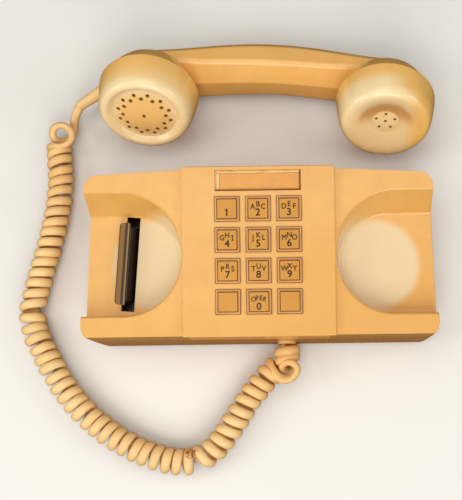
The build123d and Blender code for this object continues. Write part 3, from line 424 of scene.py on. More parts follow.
def ageing_group():
    """Masks that every old moulded piece shares, from 0 to 1: broad fading, fine mottling,
    specks of dirt, thin scratches, and a fine grain for its height."""
    group = bpy.data.node_groups.new("ageing", "ShaderNodeTree")
    group.interface.new_socket("Place", in_out="INPUT", socket_type="NodeSocketVector")
    for output in ("Fading", "Mottling", "Dirt", "Scratches", "Grain"):
        group.interface.new_socket(output, in_out="OUTPUT", socket_type="NodeSocketFloat")
    inside = Nodes(group)
    spot = inside.add("NodeGroupInput").outputs["Place"]
    leave = inside.add("NodeGroupOutput")
    stretched = inside.add("ShaderNodeMapping")
    inside.put(stretched, Vector=spot, Rotation=(0.3, 0.2, 0.7), Scale=(60.0, 900.0, 200.0))
    lines = inside.noise(stretched.outputs["Vector"], 1.0, 2.0)
    inside.put(
        leave,
        Fading=inside.ramp(inside.noise(spot, 11.0, 2.0), 0.30, 0.70),
        Mottling=inside.ramp(inside.noise(spot, 90.0, 5.0), 0.30, 0.75),
        Dirt=inside.ramp(inside.noise(spot, 420.0, 6.0, 0.65), 0.66, 0.80),
        Scratches=inside.ramp(lines, 0.70, 0.78),
        Grain=inside.noise(spot, 1400.0, 2.0),
    )
    return group


ageing = ageing_group()


def aged_surface(name, colour, faded, dirt=(110, 68, 30), roughness=0.24, coat=0.4, depth=0.06):
    """An old glossy moulding. Returns the material, its nodes, the Principled BSDF, the place that
    patterns follow and the colour so far, for a caller that adds its own marks."""
    made, tree, surface = material(name)
    place = tree.add("ShaderNodeTexCoord").outputs["Object"]
    masks = tree.put(tree.add("ShaderNodeGroup", node_tree=ageing), Place=place).outputs
    shade = tree.mix(masks["Fading"], tone(*colour), tone(*faded))
    darker = tree.mix(0.93, tone(*dirt), shade)
    shade = tree.mix(masks["Mottling"], shade, darker)
    shade = tree.mix(tree.math("MULTIPLY", masks["Dirt"], 0.35), shade, tone(*dirt))
    worn = tree.math("ADD", tree.math("MULTIPLY", masks["Mottling"], 0.08), roughness)
    worn = tree.math("ADD", tree.math("MULTIPLY", masks["Scratches"], 0.15), worn)
    relief = tree.math("SUBTRACT", masks["Grain"], tree.math("MULTIPLY", masks["Scratches"], 0.6))
    tree.put(surface, Base_Color=shade, Roughness=worn, Normal=tree.bump(relief, depth, 0.0001))
    surface.inputs["Coat Weight"].default_value = coat
    surface.inputs["Coat Roughness"].default_value = 0.12
    return made, tree, surface, place, shade


cord_finish, tree, surface, place, shade = aged_surface(
    "cord_vinyl", (250, 212, 148), (240, 194, 124), (150, 100, 54), 0.42, 0.0, 0.3
)
stained_turn = (-0.0456, -0.1216, 0.0165)
away = tree.put(tree.add("ShaderNodeVectorMath", operation="DISTANCE"), Vector=place)
away.inputs[1].default_value = stained_turn
patches = tree.ramp(tree.noise(place, 420.0, 4.0), 0.36, 0.56)
stain = tree.math("MULTIPLY", tree.ramp(away.outputs["Value"], 0.0050, 0.0024), patches)
tree.put(surface, Base_Color=tree.mix(stain, shade, tone(168, 78, 34)))


def merged(node):
    """A CAD node's mesh with its loose triangles joined, as a bmesh."""
    work = bmesh.new()
    work.from_mesh(nodes[node].data)
    bmesh.ops.remove_doubles(work, verts=work.verts, dist=0.01 * mm)
    bmesh.ops.dissolve_limit(work, angle_limit=radians(0.5), verts=work.verts, edges=work.edges)
    return work


def stands_for(node, body, work, finishes):
    """Makes a bmesh the piece that stands for a CAD node, smooth but for its creases."""
    crease = radians(30)
    for face in work.faces:
        face.smooth = True
    for edge in work.edges:
        edge.smooth = edge.is_manifold and edge.calc_face_angle(0) < crease
    mesh = bpy.data.meshes.new(node + "_raw")
    work.to_mesh(mesh)
    work.free()
    for finish in finishes:
        mesh.materials.append(finish)
    raw = bpy.data.objects.new(node + "_raw", mesh)
    bpy.context.scene.collection.objects.link(raw)
    levelled = raw.modifiers.new("level", "WEIGHTED_NORMAL")
    levelled.keep_sharp = True
    bpy.context.view_layer.update()
    done = bpy.data.meshes.new_from_object(raw.evaluated_get(bpy.context.evaluated_depsgraph_get()))
    bpy.data.objects.remove(raw)
    piece = bpy.data.objects.new(node + "_finished", done)
    bpy.context.scene.collection.objects.link(piece)
    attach(piece, body)
    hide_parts(node)
    return piece


cord = tube("curly_cord", cord_path, cord_broad, half_wide, half_thin, 12)
cord.data.materials.append(cord_finish)
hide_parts("cord_coil", "cord_tail_base", "cord_tail_handset")
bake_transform(cord)
boot = stands_for("cord_boot", "handset", merged("cord_boot"), [cord_finish])

# ---------------------------------------------------------------- baseplate, feet and screws
# A zinc-plated steel sheet closes the base from below. Four screws go up through it into
# bosses of the housing, and four rubber feet are pressed over its embossed studs.


def dress(node, finish):
    """Gives a CAD node one material."""
    mesh = nodes[node].data
    mesh.materials.clear()
    mesh.materials.append(finish)


def metal(name, colour, tarnish, roughness=0.35):
    """A bare or plated metal with brush marks, dull patches and a few dark spots."""
    made, tree, surface = material(name)
    place = tree.add("ShaderNodeTexCoord").outputs["Object"]
    masks = tree.put(tree.add("ShaderNodeGroup", node_tree=ageing), Place=place).outputs
    shade = tree.mix(masks["Mottling"], tone(*colour), tone(*tarnish))
    shade = tree.mix(tree.math("MULTIPLY", masks["Dirt"], 0.5), shade, tone(70, 58, 44))
    worn = tree.math("ADD", tree.math("MULTIPLY", masks["Fading"], 0.15), roughness)
    worn = tree.math("ADD", tree.math("MULTIPLY", masks["Scratches"], 0.2), worn)
    relief = tree.bump(masks["Grain"], 0.15, 0.0001)
    tree.put(surface, Base_Color=shade, Roughness=worn, Normal=relief)
    surface.inputs["Metallic"].default_value = 1.0
    return made


zinc = metal("zinc_plate", (186, 184, 172), (150, 146, 130), 0.32)
black_rubber = aged_surface(
    "foot_rubber", (52, 49, 46), (70, 66, 60), (110, 100, 88), 0.72, 0.0, 0.4
)[0]
dress("baseplate", zinc)
dress("rubber_feet", black_rubber)


def geometry_tree(name, **inputs):
    """A Geometry Nodes group that takes and gives a mesh and has the named inputs."""
    group = bpy.data.node_groups.new(name, "GeometryNodeTree")
    group.interface.new_socket("Geometry", in_out="INPUT", socket_type="NodeSocketGeometry")
    group.interface.new_socket("Geometry", in_out="OUTPUT", socket_type="NodeSocketGeometry")
    for label, kind in inputs.items():
        group.interface.new_socket(label.replace("_", " "), in_out="INPUT", socket_type=kind)
    return group, Nodes(group)


def run_geometry(group, points, name, body, replaced, **values):
    """Runs a Geometry Nodes group on the points and keeps its result as a plain mesh piece."""
    seeds = bpy.data.meshes.new(name + "_points")
    seeds.from_pydata(points, [], [])
    carrier = bpy.data.objects.new(name + "_carrier", seeds)
    bpy.context.scene.collection.objects.link(carrier)
    modifier = carrier.modifiers.new("repeat", "NODES")
    modifier.node_group = group
    for item in group.interface.items_tree:
        label = item.name.replace(" ", "_")
        if item.in_out == "INPUT" and label in values:
            modifier[item.identifier] = values[label]
    bpy.context.view_layer.update()
    mesh = bpy.data.meshes.new_from_object(
        carrier.evaluated_get(bpy.context.evaluated_depsgraph_get())
    )
    bpy.data.objects.remove(carrier)
    piece = bpy.data.objects.new(name, mesh)
    bpy.context.scene.collection.objects.link(piece)
    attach(piece, body)
    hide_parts(*replaced)
    return piece


group, inside = geometry_tree(
    "cross_head_screws",
    Head_Radius="NodeSocketFloat",
    Head_Height="NodeSocketFloat",
    Shank_Radius="NodeSocketFloat",
    Shank_Length="NodeSocketFloat",
    Finish="NodeSocketMaterial",
)
given = inside.add("NodeGroupInput").outputs
head = inside.put(
    inside.add("GeometryNodeMeshCylinder"),
    Vertices=32, Radius=given["Head Radius"], Depth=given["Head Height"],
).outputs["Mesh"]
slot_size = inside.add("ShaderNodeCombineXYZ")
inside.put(
    slot_size,
    X=inside.math("MULTIPLY", given["Head Radius"], 1.3),
    Y=inside.math("MULTIPLY", given["Head Radius"], 0.26),
    Z=given["Head Height"],
)
slot_cut = inside.put(inside.add("GeometryNodeMeshCube"), Size=slot_size.outputs[0]).outputs["Mesh"]
slot_drop = inside.add("ShaderNodeCombineXYZ")
inside.put(slot_drop, Z=inside.math("MULTIPLY", given["Head Height"], -0.55))
cuts = inside.add("GeometryNodeJoinGeometry")
for quarter in (0.0, pi / 2):
    turned = inside.add("GeometryNodeTransform")
    inside.put(
        turned, Geometry=slot_cut, Translation=slot_drop.outputs[0], Rotation=(0, 0, quarter)
    )
    inside.tree.links.new(turned.outputs[0], cuts.inputs[0])
carved = inside.add("GeometryNodeMeshBoolean", operation="DIFFERENCE")
inside.tree.links.new(head, carved.inputs["Mesh 1"])
inside.tree.links.new(cuts.outputs[0], carved.inputs["Mesh 2"])
shank = inside.put(
    inside.add("GeometryNodeMeshCylinder"),
    Vertices=24, Radius=given["Shank Radius"], Depth=given["Shank Length"],
).outputs["Mesh"]
shank_lift = inside.add("ShaderNodeCombineXYZ")
half_sum = inside.math("ADD", given["Shank Length"], given["Head Height"])
inside.put(shank_lift, Z=inside.math("MULTIPLY", half_sum, 0.499))
placed_shank = inside.put(
    inside.add("GeometryNodeTransform"), Geometry=shank, Translation=shank_lift.outputs[0]
)
whole = inside.add("GeometryNodeJoinGeometry")
inside.tree.links.new(carved.outputs[0], whole.inputs[0])
inside.tree.links.new(placed_shank.outputs[0], whole.inputs[0])
spread = inside.add("GeometryNodeInstanceOnPoints")
inside.put(spread, Points=given["Geometry"], Instance=whole.outputs[0])
real = inside.put(inside.add("GeometryNodeRealizeInstances"), Geometry=spread.outputs[0])
coloured = inside.put(
    inside.add("GeometryNodeSetMaterial"), Geometry=real.outputs[0], Material=given["Finish"]
)
inside.put(inside.add("NodeGroupOutput"), Geometry=coloured.outputs[0])

screws_low, screws_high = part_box("baseplate_screws")
head_radius = 3.0 * mm
head_height = 1.4 * mm
shank_length = screws_high[2] - screws_low[2] - head_height
screw_mesh = nodes["baseplate_screws"].data
corners = {(round(v.co.x * 50), round(v.co.y * 50)): [] for v in screw_mesh.vertices}
for vertex in screw_mesh.vertices:
    corners[(round(vertex.co.x * 50), round(vertex.co.y * 50))].append(vertex.co)
screw_points = [
    (
        (min(c.x for c in found) + max(c.x for c in found)) / 2,
        (min(c.y for c in found) + max(c.y for c in found)) / 2,
        screws_low[2] + head_height / 2,
    )
    for found in corners.values()
]
screws = run_geometry(
    group, screw_points, "screws", "base", ["baseplate_screws"],
    Head_Radius=head_radius, Head_Height=head_height, Shank_Radius=1.4 * mm,
    Shank_Length=shank_length, Finish=metal("screw_steel", (160, 156, 146), (120, 112, 98), 0.3),
)

# ---------------------------------------------------------------- housing
# One thick moulding of ivory plastic that has yellowed wherever light reached it. Where the
# handset's caps used to lie, in the two cradles, it has kept its first pale colour.


def crease_edges(work, least=40):
    """The edges where two faces meet at more than least degrees."""
    return [e for e in work.edges if e.is_manifold and e.calc_face_angle(0) > radians(least)]


def round_off(work, edges, width, segments=3):
    """Rounds edges of a bmesh by width."""
    bmesh.ops.bevel(
        work, geom=edges, offset=width, segments=segments, profile=0.5, affect="EDGES",
        clamp_overlap=True,
    )


ivory = (238, 182, 99)
ivory_deep = (232, 172, 88)
pale = (232, 206, 160)
pale_centres = ((-0.0645, -0.0040), (0.0720, -0.0060))
seam_x = -0.0474
rim_slope = 0.176
face_slope = radians(10.0)

housing_low, housing_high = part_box("housing")
shell, tree, surface, place, shade = aged_surface("shell_plastic", ivory, ivory_deep)
parts = tree.put(tree.add("ShaderNodeSeparateXYZ"), Vector=place).outputs
kept = 0.0
for centre in pale_centres:
    across = tree.math("SUBTRACT", parts["X"], centre[0])
    along = tree.math("SUBTRACT", parts["Y"], centre[1])
    across_squared = tree.math("MULTIPLY", across, across)
    along_squared = tree.math("MULTIPLY", along, along)
    far = tree.math("POWER", tree.math("ADD", across_squared, along_squared), 0.5)
    wavy = tree.math("ADD", far, tree.math("MULTIPLY", tree.noise(place, 45.0, 2.0), 0.003))
    kept = tree.math("MAXIMUM", tree.ramp(wavy, 0.0335, 0.0265), kept)
in_cradle = tree.ramp(tree.math("ABSOLUTE", parts["X"]), 0.0478, 0.0488)
kept = tree.math("MULTIPLY", kept, in_cradle)
level = tree.math("SUBTRACT", parts["Z"], tree.math("MULTIPLY", parts["Y"], rim_slope))
kept = tree.math("MULTIPLY", kept, tree.ramp(level, 0.0450, 0.0415))
shade = tree.mix(kept, shade, tone(*pale))
from_seam = tree.math("ABSOLUTE", tree.math("SUBTRACT", parts["X"], seam_x))
specks = tree.ramp(tree.noise(place, 260.0, 3.0), 0.60, 0.72)
seam = tree.math("MULTIPLY", tree.ramp(from_seam, 0.0008, 0.0002), specks)
shade = tree.mix(tree.math("MULTIPLY", seam, 0.7), shade, tone(176, 84, 40))
# The lower part of the front wall is darkened towards brown: painted shade, for the shadow that
# this face lies in.
front = housing_low[1]
at_front = tree.ramp(parts["Y"], front + 0.0030, front + 0.0012)
painted_front_shade = tree.math("MULTIPLY", at_front, tree.ramp(parts["Z"], 0.0380, 0.0345))
shade = tree.mix(tree.math("MULTIPLY", painted_front_shade, 0.5), shade, tone(186, 112, 48))
tree.put(surface, Base_Color=shade)

wing_rise = tan(face_slope)
wing_level = 47.754 * mm


def on_outline(edge):
    """Whether a sharp edge of the housing runs along the top of its outer walls or round the
    open ends of its cradles, where a mould is eased."""
    middle = (edge.verts[0].co + edge.verts[1].co) / 2
    on_top = middle.z > wing_level + (middle.y + 2 * mm) * wing_rise - 0.3 * mm
    end = housing_high[0] - 0.0354 * (middle.y - housing_low[1]) - 0.4 * mm
    at_end = abs(middle.x) > end and middle.z > 12 * mm
    hidden = abs(middle.x) < 46 * mm
    return (on_top or at_end) and not hidden


work = merged("housing")
round_off(work, [e for e in crease_edges(work, 35) if on_outline(e)], 1.2 * mm)
stands_for("housing", "base", work, [shell])

# ---------------------------------------------------------------- faceplate, card and window
# The faceplate is a second moulding that clips over the housing's opening and carries the
# keypad. A stained paper card lies in its pocket under a clear window with eased edges.

key_pitch = 19.05 * mm
face_plastic, tree, surface, place, shade = aged_surface("face_plastic", ivory, ivory_deep)
parts = tree.put(tree.add("ShaderNodeSeparateXYZ"), Vector=place).outputs
up_slope = tree.math("MULTIPLY", tree.math("ADD", parts["Y"], 0.002), 1 / cos(face_slope))


def from_line(tree, value, phase):
    """The distance from value to the nearest of the lines a key's pitch apart."""
    shifted = tree.math("ADD", tree.math("DIVIDE", value, key_pitch), phase)
    wave = tree.math("SUBTRACT", shifted, tree.math("ROUND", shifted))
    return tree.math("MULTIPLY", tree.math("ABSOLUTE", wave), key_pitch)


# Round the edge of each key's hole the faceplate is darkened in patches: dirt in the gap, and
# painted shade where the key meets the plate.
square = tree.math("MAXIMUM", from_line(tree, parts["X"], 0.0), from_line(tree, up_slope, 0.5))
from_hole = tree.math("ABSOLUTE", tree.math("SUBTRACT", square, 7.7 * mm))
beside_keys = tree.ramp(tree.math("ABSOLUTE", parts["X"]), 0.0292, 0.0286)
within = tree.math("MULTIPLY", beside_keys, tree.ramp(
    tree.math("ABSOLUTE", up_slope), 0.0388, 0.0382
))
gap_dirt_and_shade = tree.math("MULTIPLY", tree.ramp(from_hole, 0.0009, 0.0001), within)
patchy = tree.math("ADD", tree.math("MULTIPLY", tree.noise(place, 130.0, 4.0), 0.9), 0.1)
gap_dirt_and_shade = tree.math("MULTIPLY", gap_dirt_and_shade, patchy)
tree.put(surface, Base_Color=tree.mix(gap_dirt_and_shade, shade, tone(150, 84, 34)))
work = merged("faceplate")
face_low, face_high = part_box("faceplate")
round_off(work, [
    e for e in crease_edges(work, 35)
    if abs((e.verts[0].co + e.verts[1].co).x / 2) > face_high[0] - 0.3 * mm
    or (e.verts[0].co + e.verts[1].co).y / 2 < face_low[1] + 2.5 * mm
    or (e.verts[0].co + e.verts[1].co).y / 2 > face_high[1] - 1.5 * mm
], 0.5 * mm, 2)
stands_for("faceplate", "base", work, [face_plastic])

card_low, card_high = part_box("number_card")
card, tree, surface, place, shade = aged_surface(
    "card_stock", (236, 170, 74), (230, 156, 62), (150, 84, 40), 0.8, 0.0, 0.3
)
parts = tree.put(tree.add("ShaderNodeSeparateXYZ"), Vector=place).outputs
stain = tree.ramp(tree.noise(place, 120.0, 4.0), 0.55, 0.75)
shade = tree.mix(tree.math("MULTIPLY", stain, 0.55), shade, tone(214, 122, 60))
ragged = tree.math("MULTIPLY", tree.noise(place, 160.0, 3.0), 0.0010)
from_left = tree.math("ADD", tree.math("SUBTRACT", parts["X"], card_low[0]), ragged)
from_right = tree.math("ADD", tree.math("SUBTRACT", card_high[0], parts["X"]), ragged)
from_rear = tree.math("ADD", tree.math("SUBTRACT", card_high[1], parts["Y"]), ragged)
# Along the left and rear edges the card is painted with a pale strip and a darker line just inward
# of it, a painted highlight for the light on the window's eased edges. Along the right edge a dark
# strip is painted shade.
for reach, side in ((0.0034, from_left), (0.0026, from_rear)):
    shade = tree.mix(tree.ramp(side, reach, reach - 0.0003), shade, tone(150, 92, 44))
    shade = tree.mix(tree.ramp(side, reach - 0.0004, reach - 0.0007), shade, tone(252, 222, 158))
shade = tree.mix(tree.ramp(from_right, 0.0014, 0.0010), shade, tone(132, 74, 34))
tree.put(surface, Base_Color=shade, Specular_IOR_Level=0.2)
dress("number_card", card)

clear, tree, surface = material("window_clear")
place = tree.add("ShaderNodeTexCoord").outputs["Object"]
haze = tree.ramp(tree.noise(place, 90.0, 4.0), 0.45, 0.8)
tree.put(
    surface,
    Base_Color=tree.mix(haze, tone(250, 226, 176), tone(236, 200, 140)),
    Roughness=tree.math("ADD", tree.math("MULTIPLY", haze, 0.12), 0.1),
    Alpha=tree.math("ADD", tree.math("MULTIPLY", haze, 0.10), 0.08),
)
# The window's sides and eased edges that face left or rearward take a pale, nearly opaque finish, a
# painted highlight. Those that face right or forward take a dark brown one, painted shade.
eased, tree, surface = material("window_edge")
place = tree.add("ShaderNodeTexCoord").outputs["Object"]
chips = tree.ramp(tree.noise(place, 300.0, 4.0), 0.4, 0.7)
tree.put(
    surface,
    Base_Color=tree.mix(chips, tone(252, 222, 160), tone(222, 166, 96)),
    Roughness=0.25,
    Alpha=tree.math("ADD", tree.math("MULTIPLY", chips, 0.1), 0.85),
)
shaded = aged_surface(
    "window_shade", (176, 112, 58), (150, 92, 46), (90, 52, 26), 0.3, 0.0
)[0]
work = merged("card_window")
round_off(work, [
    e for e in crease_edges(work) if min(f.normal.z for f in e.link_faces) > -0.3
    and max(f.normal.z for f in e.link_faces) > 0.9
], 1.0 * mm, 1)
# Sides that face left or rearward take the painted highlight, and the other sides take the painted
# shade.
for face in work.faces:
    if abs(face.normal.z) < 0.95:
        face.material_index = 1 if face.normal.x < -0.3 or face.normal.y > 0.2 else 2
for vertex in {v for face in work.faces if face.normal.z < -0.95 for v in face.verts}:
    vertex.co.z += 0.08 * mm
stands_for("card_window", "base", work, [clear, eased, shaded])

# ---------------------------------------------------------------- twelve keys
# Each key is a square cap of olive-tan plastic in a paler rim, with a groove between them,
# painted dark for dirt and for painted shade. Numbers and letters are moulded through it in dark
# brown.

rim_plastic = aged_surface(
    "key_rim", (226, 172, 104), (214, 156, 88), (120, 74, 36), 0.3, 0.2
)[0]
pad_plastic, tree, surface, *_ = aged_surface(
    "key_pad", (214, 154, 70), (206, 144, 62), (120, 80, 36), 0.40, 0.0
)
tree.put(surface, Specular_IOR_Level=0.25)
# The groove round each pad and the key's outer sides are painted dark brown, for dirt and as
# painted shade between pad, rim and faceplate.
recess_dirt_and_shade = aged_surface(
    "key_groove", (150, 84, 38), (128, 68, 30), (70, 36, 16), 0.7, 0.0
)[0]
legend_paint = aged_surface(
    "legend_paint", (58, 30, 12), (50, 26, 10), (34, 18, 8), 0.7, 0.0
)[0]
face_normal = Vector((0, -sin(face_slope), cos(face_slope)))
face_up = Vector((0, cos(face_slope), sin(face_slope)))
face_right = Vector((1, 0, 0))
face_origin = Vector((0, -2.0, 50.8)) * mm
pad_half = 5.8 * mm
rim_level = 1.5 * mm
pad_level = 1.9 * mm

letters = {
    "2": "ABC", "3": "DEF", "4": "GHI", "5": "JKL",
    "6": "MNO", "7": "PRS", "8": "TUV", "9": "WXY",
}
key_rows = [
    ["blank_left", "0", "blank_right"],
    ["7", "8", "9"],
    ["4", "5", "6"],
    ["1", "2", "3"],
]


def laid_on_face(mesh, place, turn, width=1.0):
    """Moves a mesh drawn about its own origin to place on the keys' pads."""
    basis = Matrix((face_right, face_up, face_normal)).transposed().to_4x4()
    middle = face_right * place[0] + face_up * place[1] + face_normal * (pad_level + 0.02 * mm)
    slim = Matrix.Diagonal((width, 1.0, 1.0, 1.0))
    mesh.transform(
        Matrix.Translation(face_origin + middle) @ basis @ Matrix.Rotation(turn, 4, "Z") @ slim
    )
    return mesh


def written(text, height, place, turn=0.0, width=0.92):
    """One flat mesh of text, its capitals height tall, centred on place on the faceplate."""
    curve = bpy.data.curves.new("writing", "FONT")
    curve.body = text
    curve.size = height / 0.7
    curve.align_x = "CENTER"
    curve.align_y = "CENTER"
    curve.bevel_depth = 0.030 * height
    curve.bevel_resolution = 0
    obj = bpy.data.objects.new("writing", curve)
    mesh = bpy.data.meshes.new_from_object(obj)
    bpy.data.objects.remove(obj)
    return laid_on_face(mesh, place, turn, width)


def bar(length, thickness, place, turn=0.0):
    """A flat stroke, its middle on place on the faceplate."""
    mesh = bpy.data.meshes.new("bar")
    x = length / 2
    y = thickness / 2
    z = 0.1 * mm
    mesh.from_pydata([(-x, -y, z), (x, -y, z), (x, y, z), (-x, y, z)], [], [(0, 1, 2, 3)])
    return laid_on_face(mesh, place, turn)


def joined(name, meshes, finish):
    """Several meshes as one object with one material."""
    work = bmesh.new()
    for mesh in meshes:
        work.from_mesh(mesh)
        bpy.data.meshes.remove(mesh)
    whole = bpy.data.meshes.new(name)
    work.to_mesh(whole)
    work.free()
    whole.materials.clear()
    whole.materials.append(finish)
    obj = bpy.data.objects.new(name, whole)
    bpy.context.scene.collection.objects.link(obj)
    return obj


for row, names in enumerate(key_rows):
    for column, digit in enumerate(names):
        key = "key_" + digit
        centre = ((column - 1) * key_pitch, (row - 1.5) * key_pitch)
        work = merged(key)
        for face in work.faces:
            local = face.calc_center_median() - face_origin
            u = abs(local.dot(face_right) - centre[0])
            v = abs(local.dot(face_up) - centre[1])
            w = local.dot(face_normal)
            level = face.normal.dot(face_normal)
            if max(u, v) < pad_half + 0.05 * mm and w > rim_level + 0.05 * mm:
                face.material_index = 1
            elif max(u, v) < pad_half + 0.45 * mm and w < rim_level + 0.01 * mm and w > 0.7 * mm:
                face.material_index = 2
            elif max(u, v) > 7.2 * mm and abs(level) < 0.1:
                face.material_index = 2
        stands_for(key, key, work, [rim_plastic, pad_plastic, recess_dirt_and_shade])
        marks = []
        if digit.isdigit():
            low = -3.0 * mm if digit == "0" else -2.45 * mm
            marks.append(written(digit, 4.3 * mm, (centre[0], centre[1] + low), width=1.0))
        if digit == "1":
            flag = (centre[0] - 0.45 * mm, centre[1] - 0.75 * mm)
            marks.append(bar(1.5 * mm, 0.6 * mm, flag, radians(40.0)))
        if digit in letters:
            for letter, shift, lift in zip(letters[digit], (-3.1, 0.1, 3.3), (1.1, 2.6, 1.1)):
                spot = (centre[0] + shift * mm, centre[1] + lift * mm)
                marks.append(written(letter, 3.2 * mm, spot))
                if letter == "I":
                    for end in (-1.45 * mm, 1.45 * mm):
                        marks.append(bar(1.5 * mm, 0.45 * mm, (spot[0], spot[1] + end)))
        if digit == "0":
            for letter, shift in zip("OPER", (-3.3, -1.1, 1.2, 3.4)):
                arch = 2.25 - 0.075 * shift * shift
                spot = (centre[0] + shift * mm, centre[1] + arch * mm)
                marks.append(written(letter, 2.9 * mm, spot, radians(-5.0 * shift)))
        if marks:
            legend = joined("legend_" + digit, marks, legend_paint)
            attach(legend, key)

# ---------------------------------------------------------------- hook switch
# A lever of smoke-tinted plastic stands in the left cradle's slot and turns on a steel pin.
# Its bracket, spring and pile of spring contacts hang out of sight under the floor.

lever_pivot = Vector((-0.097915, -0.002088, 0.024817))
lever_axis = Vector((0.068015, 0.991849, 0.107749))
floor_normal = Vector((0, -sin(radians(6.2)), cos(radians(6.2))))
lever_across = lever_axis.cross(floor_normal).normalized()
smoked, tree, surface, place, shade = aged_surface(
    "smoked_plastic", (40, 28, 22), (36, 25, 20), (90, 68, 46), 0.35, 0.0, 0.03
)
u = tree.length_along(place, lever_pivot, lever_across)
first = tree.math("MULTIPLY", tree.ramp(u, 0.0078, 0.0088), tree.ramp(u, 0.0122, 0.0112))
second = tree.math("MULTIPLY", tree.ramp(u, 0.0118, 0.0124), tree.ramp(u, 0.0140, 0.0132))
# The thin pale line along the lever's ridge is a painted highlight.
painted_glint = tree.math("MULTIPLY", tree.ramp(u, 0.0134, 0.0138), tree.ramp(u, 0.0146, 0.0141))
shade = tree.mix(first, shade, tone(140, 102, 48))
shade = tree.mix(second, shade, tone(72, 48, 26))
shade = tree.mix(tree.math("MULTIPLY", painted_glint, 0.6), shade, tone(196, 172, 136))
tree.put(surface, Base_Color=shade, Specular_IOR_Level=0.2)
stands_for("hook_lever", "hook_lever", merged("hook_lever"), [smoked])

spring_steel = metal("spring_steel", (176, 172, 164), (132, 126, 114), 0.28)
nickel = metal("nickel_contact", (190, 178, 140), (150, 136, 98), 0.3)
dress("hook_pin", spring_steel)
dress("hook_spring", spring_steel)
dress("hook_bracket", zinc)
dress("hook_contacts", nickel)

# ---------------------------------------------------------------- keypad module and network
# Under the faceplate sit the keypad's black frame and board with two tone coils. The speech
# network's laminate board stands on four spacers of the baseplate.

black_moulding = aged_surface(
    "black_moulding", (38, 36, 35), (50, 47, 45), (96, 90, 82), 0.42, 0.1
)[0]
laminate = aged_surface(
    "board_laminate", (150, 112, 56), (132, 96, 46), (70, 46, 22), 0.5, 0.0, 0.2
)[0]
ferrite = aged_surface(
    "ferrite", (58, 56, 58), (74, 70, 70), (100, 92, 84), 0.55, 0.0, 0.2
)[0]
capacitor_case = aged_surface(
    "capacitor_case", (190, 140, 62), (176, 122, 50), (90, 60, 30), 0.35, 0.2
)[0]
winding_tape = aged_surface(
    "winding_tape", (196, 168, 96), (180, 148, 80), (100, 70, 36), 0.5, 0.05, 0.3
)[0]
dress("keypad_module", black_moulding)
dress("keypad_board", laminate)
dress("tone_coils", ferrite)
dress("keypad_screws", spring_steel)
dress("network_board", laminate)
dress("network_spacers", black_moulding)
dress("transformer", ferrite)
dress("capacitors", capacitor_case)
dress("terminal_strip", black_moulding)

# ---------------------------------------------------------------- ringer
# A brass gong on a steel post, a taped electromagnet on a steel frame, and the clapper that
# swings between them.

brass = metal("gong_brass", (206, 164, 84), (168, 124, 56), 0.22)
dress("ringer_gong", brass)
dress("gong_post", zinc)
dress("ringer_frame", zinc)
dress("ringer_coil", winding_tape)
dress("ringer_clapper", spring_steel)

# ---------------------------------------------------------------- cord inlets
# A soft grommet lines the hole of the line cord at the back, and a flanged gland that of the
# curly cord at the front.

soft_black = aged_surface(
    "soft_black_vinyl", (46, 43, 41), (60, 56, 52), (100, 92, 84), 0.6, 0.0, 0.2
)[0]
dress("inlet_grommet", soft_black)
dress("cord_gland", cord_finish)

# ---------------------------------------------------------------- handset and its caps
# The handle and both bowls are one moulding. The receiver's domed plate has 25 holes, the
# mouthpiece's dish six, and both caps screw on. Their lips are painted cream, partly as paler
# plastic and partly as a painted highlight.

handset_ivory = aged_surface(
    "handset_plastic", (251, 197, 114), (246, 188, 102)
)[0]
stands_for(
    "handset_body", "handset", merged("handset_body"), [handset_ivory]
)

yaw = radians(-2.96)
lean = radians(27.0)
handset_origin = Vector((3.9, 107.6, 29.06)) * mm
handset_x = Vector((cos(yaw), sin(yaw), 0))
handset_z = Vector((sin(yaw) * cos(lean), -cos(yaw) * cos(lean), sin(lean)))


def cap_centre(side):
    """The middle of a cap's ring, where it meets the handset: side is -1 or 1."""
    return handset_origin + handset_x * side * 78.1 * mm


def cap_plastic(name, side):
    """The handset's plastic for a cap. Also gives the node helper, the BSDF, the colour, a mask of
    the lip and all inside it, and the lengths from the cap's middle: out from the axis, up along
    the cap, up off the ring, and the distance from the axis."""
    made, tree, surface, place, shade = aged_surface(name, (254, 204, 116), (250, 196, 106))
    u, v, w = (
        tree.length_along(place, cap_centre(side), direction)
        for direction in (handset_x, handset_z.cross(handset_x), handset_z)
    )
    squares = tree.math("ADD", tree.math("MULTIPLY", u, u), tree.math("MULTIPLY", v, v))
    r = tree.math("POWER", squares, 0.5)
    wavy = tree.math("ADD", w, tree.math("MULTIPLY", tree.noise(place, 60.0, 2.0), 0.003))
    return made, tree, surface, shade, tree.ramp(wavy, 0.0165, 0.0210), (u, v, w, r)


def with_dirty_and_shaded_holes(node, side, reach):
    """A cap's mesh whose hole walls, within reach of its axis, take the second material."""
    work = merged(node)
    for face in work.faces:
        local = face.calc_center_median() - cap_centre(side)
        off_axis = local - local.dot(handset_z) * handset_z
        if off_axis.length < reach and abs(face.normal.dot(handset_z)) < 0.3:
            face.material_index = 1
    return work


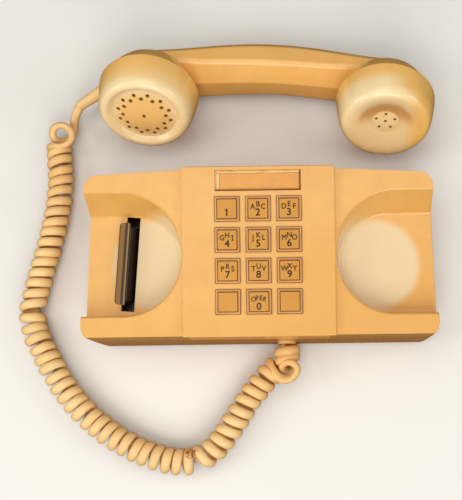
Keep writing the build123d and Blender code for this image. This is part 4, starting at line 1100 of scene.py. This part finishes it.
cream = (254, 230, 180)
plate_yellow = (246, 200, 122)
receiver_finish, tree, surface, shade, lip, (_, _, w, r) = cap_plastic("receiver_plastic", -1)
# The lip is painted cream, partly as paler plastic and partly as a painted highlight.
lip = tree.math("MULTIPLY", lip, tree.ramp(r, 0.0135, 0.0215))
shade = tree.mix(tree.ramp(r, 0.0215, 0.0205), shade, tone(*plate_yellow))
shade = tree.mix(tree.math("MULTIPLY", lip, 0.85), shade, tone(*cream))
flank = tree.math("MULTIPLY", tree.ramp(r, 0.0290, 0.0300), tree.ramp(w, 0.0050, 0.0150))
shade = tree.mix(tree.math("MULTIPLY", flank, 0.35), shade, tone(*cream))
tree.put(surface, Base_Color=shade)
mouth_finish, tree, surface, shade, lip, (u, v, w, r) = cap_plastic("mouthpiece_plastic", 1)
# The lip is painted cream, partly as paler plastic and partly as a painted highlight.
lip = tree.math("MULTIPLY", lip, tree.ramp(u, 0.0230, 0.0100))
shade = tree.mix(tree.math("MULTIPLY", lip, 0.75), shade, tone(*cream))
# A pale patch on the flank, towards the top and the handle, is a painted highlight.
towards = tree.math("SUBTRACT", tree.math("MULTIPLY", v, 0.75), tree.math("MULTIPLY", u, 0.66))
painted_sheen = tree.math("MULTIPLY", tree.ramp(towards, 0.010, 0.024), tree.ramp(w, 0.004, 0.014))
shade = tree.mix(tree.math("MULTIPLY", painted_sheen, 0.8), shade, tone(*cream))
# The upper part of the dish round the centre disc is darkened: painted shade, where the dish's wall
# faces down.
dish_painted_shade = tree.math("MULTIPLY", tree.ramp(r, 0.0205, 0.0150), tree.ramp(r, 0.0075, 0.0095))
dish_painted_shade = tree.math("MULTIPLY", dish_painted_shade, tree.ramp(v, -0.0050, 0.0070))
shade = tree.mix(tree.math("MULTIPLY", dish_painted_shade, 0.8), shade, tone(206, 146, 74))
tree.put(surface, Base_Color=shade)
# The hole walls are painted darker than the cap, for dirt and as painted shade inside the holes.
hole_dirt = aged_surface(
    "hole_dirt", (200, 150, 88), (180, 130, 74), (90, 58, 30), 0.8, 0.0
)[0]
for node, side, reach, finish in (
    ("receiver_cap", -1, 19.0 * mm, receiver_finish),
    ("mouthpiece_cap", 1, 8.6 * mm, mouth_finish),
):
    work = with_dirty_and_shaded_holes(node, side, reach)
    stands_for(node, "handset", work, [finish, hole_dirt])

capsule = metal("capsule_metal", (172, 166, 150), (140, 130, 112), 0.4)
dress("receiver_unit", capsule)
dress("transmitter_unit", capsule)
dress("transmitter_cup", black_moulding)
